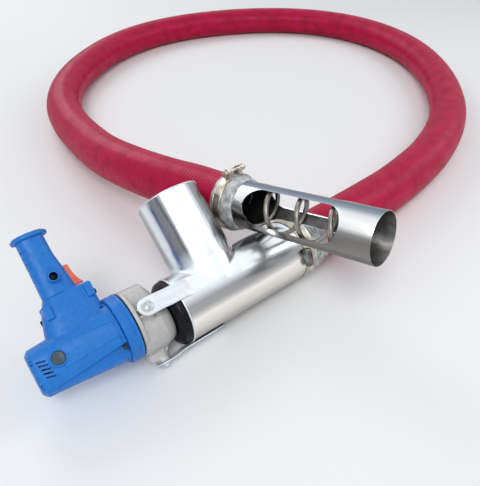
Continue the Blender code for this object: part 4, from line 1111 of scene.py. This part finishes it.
# ---------------------------------------------------------------- spirals
def make_spiral(name, node, x0, x1, phase_x, phase_angle, body, place):
    """Right-hand spiral wound from a strip with rounded edges."""
    sides = 12
    mean = (SPIRAL_INNER + SPIRAL_OUTER) / 2
    half_thick, half_wide = (SPIRAL_OUTER - SPIRAL_INNER) / 2, 0.0044
    turns = (x1 - x0 - 2 * half_wide) / SPIRAL_PITCH
    steps = round(turns * 56)
    shape = bmesh.new()
    rings = []
    for i in range(steps + 1):
        mid = x0 + half_wide + (x1 - x0 - 2 * half_wide) * i / steps
        angle = phase_angle + math.tau * (mid - phase_x) / SPIRAL_PITCH
        taper = min(1.0, 0.4 + min(i, steps - i) * 0.2)
        ring = []
        for k in range(sides):
            turn = math.tau * k / sides
            c, s = math.cos(turn), math.sin(turn)
            across = math.copysign(abs(c) ** 0.7, c) * half_thick * taper
            along = math.copysign(abs(s) ** 0.7, s) * half_wide * taper
            radius = mean + across
            ring.append(add_round(shape, mid + along, radius, angle))
        rings.append(ring)
    cap_ends(shape, rings)
    join_rings(shape, rings)
    add_piece(name, shape, "spring_steel", place, [node], smooth=60, body=body)


def make_spirals():
    hub_plate_to = PLUG_LENGTH + 0.0105
    make_spiral("tee_coil", "tee_spiral", hub_plate_to + GAP, HOSE_START - GAP, 0.06, 0.0, "spindle", DRIVE)
    make_spiral(
        "inlet_coil", "inlet_spiral", -INLET_TUCK, WINDOW_TO + 0.004, 0.0690, math.pi / 2,
        "inlet_spiral", INLET,
    )


# ---------------------------------------------------------------- gearbox, straps and end seal
STRAP_COUNT = 3
STRAP_LIFT = 0.0030
STRAP_HOLE_RADIUS = 0.0043


def lug_turn(i):
    return roll_about_x(math.radians(60) + math.tau * i / STRAP_COUNT)


def make_gearbox():
    """Sand-cast housing with soft corners: flange, gear bulge, round nose, three strap lugs and ribs."""
    flange = rod(GEARBOX_REAR, GEARBOX_REAR + 0.0070, FLANGE_RADIUS - 0.0005, 96, moved(0, MOTOR_OFFSET))
    nose = turned([
        (GEARBOX_REAR + 0.003, 0), (GEARBOX_REAR + 0.003, 0.0440), (GEARBOX_NOSE_END - 0.0180, 0.0425),
        (GEARBOX_NOSE_END - 0.0060, 0.0385), (GEARBOX_NOSE_END - 0.0010, 0.0355), (
            GEARBOX_NOSE_END, 0.0330,
        ),
        (GEARBOX_NOSE_END, 0),
    ], 96, False)
    bulge = loft([
        (GEARBOX_REAR + 0.004, MOTOR_OFFSET + 0.0245, 0, 0.0300, 0.0330, 3.4),
        (GEARBOX_NOSE_END - 0.0213, MOTOR_OFFSET + 0.0245, 0, 0.0295, 0.0300, 3.4),
        (GEARBOX_NOSE_END - 0.0043, MOTOR_OFFSET + 0.0030, 0, 0.0230, 0.0220, 2.6),
    ], 0)
    parts = [nose, bulge]
    flutes = []
    for i in range(STRAP_COUNT):
        turn = lug_turn(i)
        parts.append(loft([
            (0.0250, STRAP_BOLT_AT + 0.001, 0, 0.0170, 0.0200, 2.6),
            (0.0440, STRAP_BOLT_AT - 0.001, 0, 0.0120, 0.0125, 2.2),
            (0.0540, STRAP_BOLT_AT, 0, 0.0098, 0.0100, 2.0),
            (TEE_RADIUS + STRAP_LIFT, STRAP_BOLT_AT, 0, 0.0105, 0.0110, 2.0),
        ], 1, 64, turn))
        for side in (-1, 1):
            flute_at = turn @ moved(STRAP_BOLT_AT + 0.0085, 0, side * 0.0085) @ ALONG_Y
            flutes.append(rod(0.0400, 0.0560, 0.0020, 24, flute_at, far_radius=0.0030))
        for side in (-1, 1):
            rib = prism(
                [(GEARBOX_REAR + 0.004, 0.030), (GEARBOX_REAR + 0.004, 0.0545), (
                    STRAP_BOLT_AT - 0.004, 0.0585,
                ),
                 (STRAP_BOLT_AT + 0.004, 0.0585), (GEARBOX_NOSE_END - 0.010, 0.030)],
                side * 0.0065 - 0.0016, side * 0.0065 + 0.0016, 2, 0, turn,
            )
            parts.append(rib)
    casting = sculpt(flange, parts, flutes, voxel=0.0011, relax=6)
    offset = moved(0, 0.0095)
    cuts = [
        rod(GEARBOX_REAR - 0.01, GEARBOX_REAR + 0.0278, CAVITY_RADIUS, 64, offset),
        rod(GEARBOX_REAR + 0.018, GEARBOX_NOSE_END + 0.01, 0.0178, 64),
    ]
    for i in range(STRAP_COUNT):
        place = lug_turn(i) @ moved(STRAP_BOLT_AT) @ ALONG_Y
        cuts.append(rod(0.0440, 0.08, STRAP_HOLE_RADIUS, 32, place))
    add_piece(
        "gearbox_casting", sculpt(casting, cuts=cuts), "cast_aluminium", DRIVE, ["gearbox_housing"],
        smooth=45,
    )


def strap_shape(end):
    """A flat strap with a round end at the lug, bent down on to the tee and thinned at its far end."""
    near_part, fade_length = 0.030, 0.030
    bend_from, bend_length = 0.012, 0.030
    half = STRAP_WIDTH / 2
    low = TEE_RADIUS + GAP
    shape = bmesh.new()
    stations = []
    for k in range(13):
        angle = math.pi - math.pi / 2 * k / 12
        stations.append((STRAP_BOLT_AT + half * math.cos(angle), max(half * math.sin(angle), 0.0012)))
    stations += [(STRAP_BOLT_AT + near_part * k / 16 + 0.0001, half) for k in range(1, 17)]
    far_part = end - STRAP_BOLT_AT - near_part - 0.004
    stations += [(STRAP_BOLT_AT + near_part + far_part * k / 12, half) for k in range(1, 13)]
    stations += [(end - 0.002, half - 0.001), (end, half - 0.003)]
    loops = []
    for x, wide in stations:
        share = min(max((x - STRAP_BOLT_AT - bend_from) / bend_length, 0), 1)
        lift = STRAP_LIFT * (1 - share * share * (3 - 2 * share))
        fade = min(max((x - end + fade_length) / fade_length, 0), 1)
        thick = STRAP_THICKNESS * (1 - 0.88 * fade * fade)
        loop = []
        edge = min(0.0006, wide * 0.4)
        section = (
            (-wide, 0.25), (-wide, 0.75), (-wide + edge, 1), (wide - edge, 1), (wide, 0.75), (wide, 0.25),
            (wide - edge, 0), (-wide + edge, 0),
        )
        for z, y in section:
            loop.append(shape.verts.new((x, low + lift + thick * y, z)))
        loops.append(loop)
    cap_ends(shape, loops)
    join_rings(shape, loops)
    return shape


def make_straps():
    for i in range(STRAP_COUNT):
        place = DRIVE @ lug_turn(i)
        number = i + 1
        low = TEE_RADIUS + GAP + STRAP_LIFT
        hole = rod(low - 0.01, low + 0.02, STRAP_HOLE_RADIUS, 32, moved(STRAP_BOLT_AT) @ ALONG_Y)
        strap = sculpt(strap_shape(STRAP_ENDS[i]), cuts=[hole])
        add_piece(f"strap_bar_{number}", strap, "strap_steel", place, [f"strap_{number}"],
                  "polished_steel")
        axis = place @ moved(STRAP_BOLT_AT) @ ALONG_Y
        seat = low + STRAP_THICKNESS + GAP
        washer = turned([
            (seat, STRAP_HOLE_RADIUS), (seat, 0.0094), (seat + 0.0008, 0.0098), (seat + 0.0014, 0.0092),
            (seat + 0.0016, 0.0080), (seat + 0.0024, 0.0078), (seat + 0.0026, 0.0070), (
                seat + 0.0026, STRAP_HOLE_RADIUS,
            ),
        ], 64)
        add_piece(f"strap_bolt_washer_{number}", washer, "bright_zinc", axis, [f"strap_washer_{number}"],
                  "zinc_plate")
        head = seat + 0.0026
        bolt = hex_bolt(0.0460, head + 0.001, head, head + 0.0046, 0.0039, 0.0064)
        dimple = rod(head + 0.0040, head + 0.02, 0.0030, 32, far_radius=0.020)
        add_piece(f"strap_hex_bolt_{number}", sculpt(bolt, cuts=[dimple]), "bright_zinc", axis,
                  [f"strap_bolt_{number}"], "zinc_plate")


def make_end_seal():
    """Black end seal with a rounded shoulder and a fine lip."""
    outer = TEE_RADIUS - TEE_WALL - GAP
    hole = SPINDLE_RADIUS + 0.002
    outline = [(PLUG_LENGTH, hole), (PLUG_LENGTH, outer), (0.0022, outer), (0.0016, outer - 0.0006)]
    outline += [(0.0008, outer - 0.0006), (0.0002, outer)]
    round_length, round_depth = 0.0108, 0.0130
    round_from = round_length - PLUG_STAND_OUT
    for k in range(13):
        angle = math.pi / 2 * k / 12
        x = round_from - round_length * math.sin(angle)
        outline.append((x, outer - round_depth * (1 - math.cos(angle))))
    outline += [
        (-PLUG_STAND_OUT, 0.020), (0.0030 - PLUG_STAND_OUT, 0.0185), (0.0030 - PLUG_STAND_OUT, hole),
    ]
    add_piece("end_seal_domed", turned(outline, 128), "black_rubber", DRIVE, ["end_seal"])


# ---------------------------------------------------------------- motor
HANDLE = DRIVE @ moved(FLANGE_REAR)
BODY_STATIONS = (
    (HOUSING_REAR, BRUSH_BORE + 0.0005, 3.4),
    (HOUSING_REAR + 0.006, BRUSH_BORE + 0.0075, 3.4),
    (HOUSING_REAR + 0.043, BRUSH_BORE + 0.0105, 3.0),
    (FLANGE_REAR - 0.029, BORE_RADIUS + 0.0075, 2.6),
    (FLANGE_REAR, BORE_RADIUS + 0.0110, 2.2),
)
SCREW_ANGLES = [math.radians(angle) for angle in (28, 122, -28, -122)]
SCREW_RING = 0.0470
SCREW_SEAT = FLANGE_REAR - 0.0035
BUTTON_AT = moved(-0.0490, 0.1350) @ ALONG_Z
END_CAP_AT = -0.0525
GRIP_RIDGES = 6
VENT_SLOTS = 5


def body_surface(x, y):
    """Half thickness of the motor body at station x and height y from the motor's axis."""
    for (xa, ra, sa), (xb, rb, sb) in zip(BODY_STATIONS, BODY_STATIONS[1:]):
        if xa <= x <= xb:
            share = (x - xa) / (xb - xa)
            radius, square = ra + (rb - ra) * share, sa + (sb - sa) * share
            return radius * max(1 - (abs(y) / radius) ** square, 0) ** (1 / square)
    return 0.0


def groove(start, end, side, width=0.0009, depth=0.0008, steps=4):
    """Cutters for a fine groove along the body's side, from one (x, height) to another."""
    cutters = []
    for i in range(steps):
        spots = []
        for share in (i / steps - 0.02, (i + 1) / steps + 0.02):
            x = start[0] + (end[0] - start[0]) * share
            y = start[1] + (end[1] - start[1]) * share
            spots.append(Vector((x, y, side * body_surface(x, y))))
        middle = (spots[0] + spots[1]) / 2
        outward = Vector((0, middle.y * 0.5, middle.z)).normalized()
        place = axes_matrix(middle, spots[1] - spots[0], outward)
        half = (spots[1] - spots[0]).length / 2
        cutters.append(box((-half, -width / 2, -depth), (half, width / 2, 0.004), 0, place))
    return cutters


def brush_place(side):
    return moved(BRUSH_AT) @ roll_about_x(BRUSH_ROLL + (0 if side > 0 else math.pi)) @ ALONG_Z


def screw_places():
    return [moved(0, SCREW_RING * math.cos(a), SCREW_RING * math.sin(a)) for a in SCREW_ANGLES]


def side_plugs():
    front = moved(-0.0030, 0.0900, 0.0060)
    rear = moved(-0.0880, 0.0800, -0.0040) @ Matrix.Rotation(math.pi, 4, "Z")
    return (("side_plug_front", front), ("side_plug_rear", rear))


def housing_outside():
    """Body, base and grip as one soft-cornered moulding, in the motor axis's frame."""
    to_axis = moved(FLANGE_REAR, -MOTOR_OFFSET)
    body = loft([(x, 0, 0, radius, radius, square) for x, radius, square in BODY_STATIONS], 0, 96)
    joins = [
        loft([
            (0.0300, -0.0550, 0, 0.0540, 0.0360, 3.0), (0.0560, -0.0490, 0, 0.0475, 0.0330, 3.2),
            (0.0860, -0.0450, 0, 0.0430, 0.0270, 3.6), (0.1085, -0.0395, 0, 0.0372, 0.0215, 4.0),
        ], 1, 80, to_axis),
        loft([
            (0.0950, -0.0485, 0, 0.0275, GRIP_HALF_WIDTH, 2.8),
            (GRIP_END - 0.0585, -0.0510, 0, 0.0240, GRIP_HALF_WIDTH, 2.6),
            (GRIP_END - 0.0330, -0.0530, 0, 0.0218, GRIP_HALF_WIDTH - 0.0005, 2.5),
            (GRIP_END + 0.004, -0.0533, 0, 0.0212, GRIP_HALF_WIDTH, 2.5),
        ], 1, 80, to_axis),
    ]
    for side in (-1, 1):
        front_low, front_high = (-0.0175, 0.0850, 0), (-0.0055, 0.1060, side * 0.0300)
        rear_low, rear_high = (-0.0840, 0.0790, 0), (-0.0720, 0.1000, side * 0.0310)
        joins += [box(front_low, front_high, 0, to_axis), box(rear_low, rear_high, 0, to_axis)]
        if side > 0:
            joins.append(rod(0.02, 0.0300, 0.0088, 40, to_axis @ BUTTON_AT))
        joins.append(rod(0.02, BRUSH_BORE + 0.0125, 0.0128, 48, brush_place(side)))
    return sculpt(body, joins, voxel=0.0012, relax=4)


def housing_cutters():
    to_axis = moved(FLANGE_REAR, -MOTOR_OFFSET)
    bore = turned([
        (FLANGE_REAR + 0.02, 0), (FLANGE_REAR + 0.02, BORE_RADIUS), (HOUSING_REAR + 0.0610, BORE_RADIUS),
        (HOUSING_REAR + 0.0570, BRUSH_BORE), (HOUSING_REAR + 0.0130, BRUSH_BORE),
        (HOUSING_REAR + 0.0130, 0.0088), (HOUSING_REAR + 0.0040, 0.0088), (HOUSING_REAR + 0.0040, 0),
    ], 64, False)
    hollow = GRIP_HALF_WIDTH - 0.0040
    grip_hollow = loft([
        (0.0300, -0.0490, 0, 0.0180, hollow, 4.0), (0.1300, -0.0500, 0, 0.0185, hollow, 4.0),
        (GRIP_END + 0.02, -0.0530, 0, 0.0172, hollow, 4.0),
    ], 1, 48, to_axis)
    cuts = [bore, grip_hollow]
    cuts.append(box((-0.0440, 0.1080, -0.0062), (0.0010, 0.1485, 0.0062), 0, to_axis))
    cuts.append(box((-0.1, GRIP_END, -0.1), (0.1, GRIP_END + 0.1, 0.1), 0, to_axis))
    cuts.append(rod(0.005, 0.05, BUTTON_RADIUS + GAP, 40, to_axis @ BUTTON_AT))
    cuts.append(rod(-0.06, 0.06, 0.0104, 48, brush_place(1)))
    for place in screw_places():
        cuts.append(rod(SCREW_SEAT - 0.0160, SCREW_SEAT, 0.0052, 32, place))
        cuts.append(rod(SCREW_SEAT - 0.0055, FLANGE_REAR + 0.01, 0.0022, 16, place))
    for _, place in side_plugs():
        cuts.append(rod(-0.0062, 0.02, 0.0047, 32, to_axis @ place))
    for k in range(GRIP_RIDGES):
        rear_y = 0.1380 + 0.0098 * k
        centre = to_axis @ moved(-0.0755 + 0.0002 * k, rear_y)
        ridge = loft([
            (-0.0011, 0.0212, 0, 0.0199, GRIP_HALF_WIDTH - 0.0012, 2.6),
            (0.0011, 0.0212, 0, 0.0199, GRIP_HALF_WIDTH - 0.0012, 2.6),
        ], 1, 48, centre)
        blade = box((-0.010, -0.0009, -0.0165), (0.0105, 0.0009, 0.0165), 0, centre)
        cuts.append(sculpt(blade, cuts=[ridge]))
    for side in (-1, 1):
        for k in range(VENT_SLOTS):
            tilt = Matrix.Rotation(math.radians(-14), 4, "Z")
            x, y = BRUSH_AT - 0.0225 + 0.0010 * k, 0.0148 - 0.0062 * k
            z = body_surface(x, y)
            place = moved(x, y, side * z) @ tilt
            cuts.append(box((-0.0065, -0.0011, -0.009), (0.0065, 0.0011, 0.009), 0, place))
        cuts += groove((-0.176, 0.0248), (-0.1050, 0.0190), side)
        cuts += groove((-0.190, -0.0092), (-0.1060, -0.0050), side)
        near = Vector((-0.2120, -0.0305, side * 0.0320))
        far = Vector((-0.1030, -0.0340, side * 0.0480))
        along = far - near
        flute = rod(
            0, along.length, 0.0025, 64, axes_matrix(near, along, Vector((0, 0, 1))), far_radius=0.0165,
        )
        cuts.append(flute)
        for y in (0.0215, 0.0165, -0.0165, -0.0215):
            oval = moved(HOUSING_REAR + 0.0028, y, side * 0.0335) @ Matrix.Rotation(
                side * math.radians(50), 4, "Y",
            )
            cuts.append(box((-0.0035, -0.0012, -0.0024), (0.0035, 0.0012, 0.0024), 0.0008, oval))
    ring = turned([
        (FLANGE_REAR - 0.0072, 0.0400), (FLANGE_REAR - 0.0072, 0.0600), (FLANGE_REAR - 0.0062, 0.0600),
        (FLANGE_REAR - 0.0062, 0.0400),
    ], 96)
    ring_keep = loft([
        (FLANGE_REAR - 0.02, 0, 0, BORE_RADIUS + 0.0088, BORE_RADIUS + 0.0088, 2.3),
        (FLANGE_REAR + 0.01, 0, 0, BORE_RADIUS + 0.0094, BORE_RADIUS + 0.0094, 2.2),
    ], 0, 96)
    ring = sculpt(ring, cuts=[ring_keep, box((-0.2, 0.02, -0.1), (0, 0.1, 0.1))])
    cuts.append(ring)
    return cuts


def make_motor():
    housing = sculpt(housing_outside(), cuts=housing_cutters())
    add_piece("motor_moulding", housing, "blue_plastic", ARMATURE, ["motor_housing"], smooth=48)
    front, rear = FLANGE_FRONT, FLANGE_REAR + GAP
    collar = turned([
        (front, 0.0108), (front, FLANGE_RADIUS - 0.0012), (front - 0.0010, FLANGE_RADIUS),
        (front - 0.0065, FLANGE_RADIUS), (front - 0.0068, FLANGE_RADIUS - 0.0006),
        (front - 0.0080, FLANGE_RADIUS - 0.0006), (front - 0.0083, FLANGE_RADIUS),
        (rear + 0.0014, FLANGE_RADIUS - 0.0002), (rear, FLANGE_RADIUS - 0.0018), (rear, 0.0440),
        (front - 0.0115, 0.0400), (front - 0.0115, 0.0108),
    ], 128)
    add_piece("motor_collar", collar, "blue_plastic", ARMATURE, ["motor_flange"])
    gasket = turned([
        (GEARBOX_REAR - 0.0017, 0.0400), (GEARBOX_REAR - 0.0017, FLANGE_RADIUS - 0.0012),
        (GEARBOX_REAR - 0.0010, FLANGE_RADIUS - 0.0006), (GEARBOX_REAR - GAP, FLANGE_RADIUS - 0.0012),
        (GEARBOX_REAR - GAP, 0.0400),
    ], 128)
    add_piece("gasket_ring", gasket, "black_rubber", ARMATURE, ["gearbox_gasket"])
    for side, name in ((1, "upper"), (-1, "lower")):
        place = brush_place(side)
        low, top = BRUSH_BORE - 0.0007, BRUSH_BORE + 0.0128
        cap = turned([
            (low, 0), (low, 0.0074), (top - 0.0060, 0.0075), (top - 0.0055, 0.0100), (top - 0.0010, 0.0100),
            (top - 0.0002, 0.0093), (top, 0.0084), (top - 0.0004, 0.0070), (top - 0.0004, 0),
        ], 64, False)
        coin = box((top - 0.0012, -0.0062, -0.0007), (top + 0.002, 0.0062, 0.0007))
        add_piece(f"brush_cap_slotted_{name}", sculpt(cap, cuts=[coin]), "dark_cap", ARMATURE @ place,
                  [f"brush_cap_{name}"], "black_rubber")
    for i, place in enumerate(screw_places()):
        seat = SCREW_SEAT
        screw = turned([
            (seat - 0.0046, 0), (seat - 0.0045, 0.0022), (seat - 0.0038, 0.0036), (seat - 0.0026, 0.0041),
            (seat - GAP, 0.0041), (seat - GAP, 0.0018), (FLANGE_REAR - GAP, 0.0018), (FLANGE_REAR - GAP, 0),
        ], 40, False)
        cross = [
            box((seat - 0.006, -0.0024, -0.0005), (seat - 0.0032, 0.0024, 0.0005)),
            box((seat - 0.006, -0.0005, -0.0024), (seat - 0.0032, 0.0005, 0.0024)),
        ]
        # The screws are noted as zinc plate but drawn in the black carbon look, painted shade in their deep pockets
        add_piece(f"cross_screw_{i + 1}", sculpt(screw, cuts=cross), "carbon", ARMATURE @ place,
                  [f"housing_screw_{i + 1}"], "zinc_plate")


def make_handle_parts():
    outline = rounded_slot(0.0560, GRIP_HALF_WIDTH + 0.0050, 24)
    cap_place = moved(END_CAP_AT, GRIP_END + GAP)
    cap = prism(outline, 0, 0.0060, 1, 0.0018, cap_place)
    lip = prism(rounded_slot(0.0500, GRIP_HALF_WIDTH + 0.0020, 24), 0.0040, 0.0078, 1, 0.0012, cap_place)
    dish = prism(rounded_slot(0.0440, GRIP_HALF_WIDTH - 0.0010, 24), 0.0058, 0.02, 1, 0, cap_place)
    gland_place = moved(END_CAP_AT) @ ALONG_Y
    hole = rod(GRIP_END - 0.01, GRIP_END + 0.03, 0.0075, 40, gland_place)
    add_piece("grip_end_cap", sculpt(cap, [lip], [dish, hole]), "blue_plastic", HANDLE, ["handle_end_cap"])
    start, top = GRIP_END - 0.008, GRIP_END + GAP + 0.0105
    gland = [(start, 0.0035), (start, 0.0072)]
    for k in range(4):
        x = GRIP_END + 0.0070 - 0.0018 * (3 - k)
        gland += [(x, 0.0072), (x + 0.0004, 0.0066), (x + 0.0012, 0.0066)]
    gland += [(top - 0.0006, 0.0072), (top, 0.0066), (top, 0.0035)]
    add_piece("gland_ribbed", turned(gland, 64, True, gland_place), "black_rubber", HANDLE, ["cable_gland"])
    trigger_outline = [(-0.0350, 0.1470), (-0.0245, 0.1467), (-0.0208, 0.1462)]
    for k in range(11):
        share = k / 10
        x = -0.0200 + 0.0030 * share + 0.0078 * share ** 3
        trigger_outline.append((x, 0.1452 - 0.0340 * share))
    trigger_outline += [(-0.0230, 0.1100), (-0.0350, 0.1100)]
    trigger = prism(trigger_outline, -0.0059, 0.0059, 2, 0.0011)
    add_piece("trigger_moulded", trigger, "orange_plastic", HANDLE, ["trigger"], body="trigger")
    start, top = GRIP_HALF_WIDTH - 0.0015, GRIP_HALF_WIDTH + 0.0028
    radius = BUTTON_RADIUS
    button = turned([
        (start, 0), (start, radius), (top - 0.0012, radius), (top - 0.0003, radius - 0.0009),
        (top + 0.0003, radius - 0.0026), (top + 0.0005, 0),
    ], 64, False)
    add_piece(
        "lock_button_domed", button, "black_rubber", HANDLE @ BUTTON_AT, ["lock_button"], body="lock_button"
    )
    for name, place in side_plugs():
        plug = turned([
            (-0.006, 0), (-0.006, 0.0044), (0.0024, 0.0044), (0.0033, 0.0036), (0.0036, 0.0020), (
                0.0036, 0,
            ),
        ], 48, False)
        add_piece(f"{name}_domed", plug, "black_rubber", HANDLE @ place, [name])


# ---------------------------------------------------------------- stage
LIGHTING_STRENGTH = 0.48
FLOOR_DROP = 0.0002


def make_floor():
    shape = bmesh.new()
    bmesh.ops.create_grid(shape, x_segments=1, y_segments=1, size=20)
    mesh = bpy.data.meshes.new("floor")
    shape.to_mesh(mesh)
    shape.free()
    floor = bpy.data.objects.new("floor", mesh)
    floor.location.z = -FLOOR_DROP
    bpy.context.collection.objects.link(floor)
    material, _, _ = new_material("floor", (0.88, 0.875, 0.865), 0, 0.7)
    mesh.materials.append(material)
    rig.stage(floor)


def make_world():
    """Weak light from all round, under a pale backdrop that the camera and the metal see."""
    world = bpy.data.worlds.new("studio")
    world.use_nodes = True
    tree = world.node_tree
    place = tree.nodes.new("ShaderNodeTexCoord")
    split = tree.nodes.new("ShaderNodeSeparateXYZ")
    rays = tree.nodes.new("ShaderNodeLightPath")
    tree.links.new(place.outputs["Generated"], split.inputs["Vector"])
    lighting = tree.nodes["Background"]
    lighting.inputs["Color"].default_value = (0.86, 0.92, 1.0, 1)
    lighting.inputs["Strength"].default_value = LIGHTING_STRENGTH
    seen = tree.nodes.new("ShaderNodeBackground")
    stops = (
        (0.0, (0.84, 0.84, 0.84)), (0.1, (0.66, 0.68, 0.71)), (0.35, (0.72, 0.76, 0.82)),
        (0.6, (0.92, 0.96, 1.0)), (0.9, (1.0, 1.0, 1.0)),
    )
    sky = add_ramp(tree, split.outputs["Z"], stops)
    tree.links.new(sky.outputs["Color"], seen.inputs["Color"])
    share = rays.outputs["Is Camera Ray"]
    for ray in ("Is Glossy Ray", "Is Transmission Ray"):
        share = add_math(tree, "MAXIMUM", share, rays.outputs[ray])
    mix = tree.nodes.new("ShaderNodeMixShader")
    tree.links.new(share, mix.inputs[0])
    tree.links.new(lighting.outputs["Background"], mix.inputs[1])
    tree.links.new(seen.outputs["Background"], mix.inputs[2])
    tree.links.new(mix.outputs["Shader"], tree.nodes["World Output"].inputs["Surface"])
    bpy.context.scene.world = world


def make_lights():
    for name, place, target, size, power in (
        ("key", (-1.2, -1.3, 2.6), (0.2, 0.2, 0), 1.4, 46),
        ("fill", (2.4, -0.8, 1.9), (0.4, 0.3, 0), 1.6, 17),
        ("back", (0.4, 3.2, 2.2), (0.4, 0.6, 0), 1.8, 30),
    ):
        data = bpy.data.lights.new(name, "AREA")
        data.size = size
        data.energy = power
        light = bpy.data.objects.new(name, data)
        light.location = place
        light.rotation_mode = "QUATERNION"
        light.rotation_quaternion = (Vector(target) - Vector(place)).to_track_quat("-Z", "Y")
        bpy.context.collection.objects.link(light)


make_camera()
make_hose()
make_floor()
make_world()
make_lights()
bpy.context.scene.view_settings.view_transform = "Standard"
dress_cad_nodes()
make_tee()
make_tee_end()
make_inlet()
make_inlet_clamp()
make_spirals()
make_gearbox()
make_straps()
make_end_seal()
make_motor()
make_handle_parts()

low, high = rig.bounds()
with open("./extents.json", "w") as size_file:
    json.dump({"cad": [list(corner) for corner in CAD_BOX], "visual": [list(low), list(high)]}, size_file)
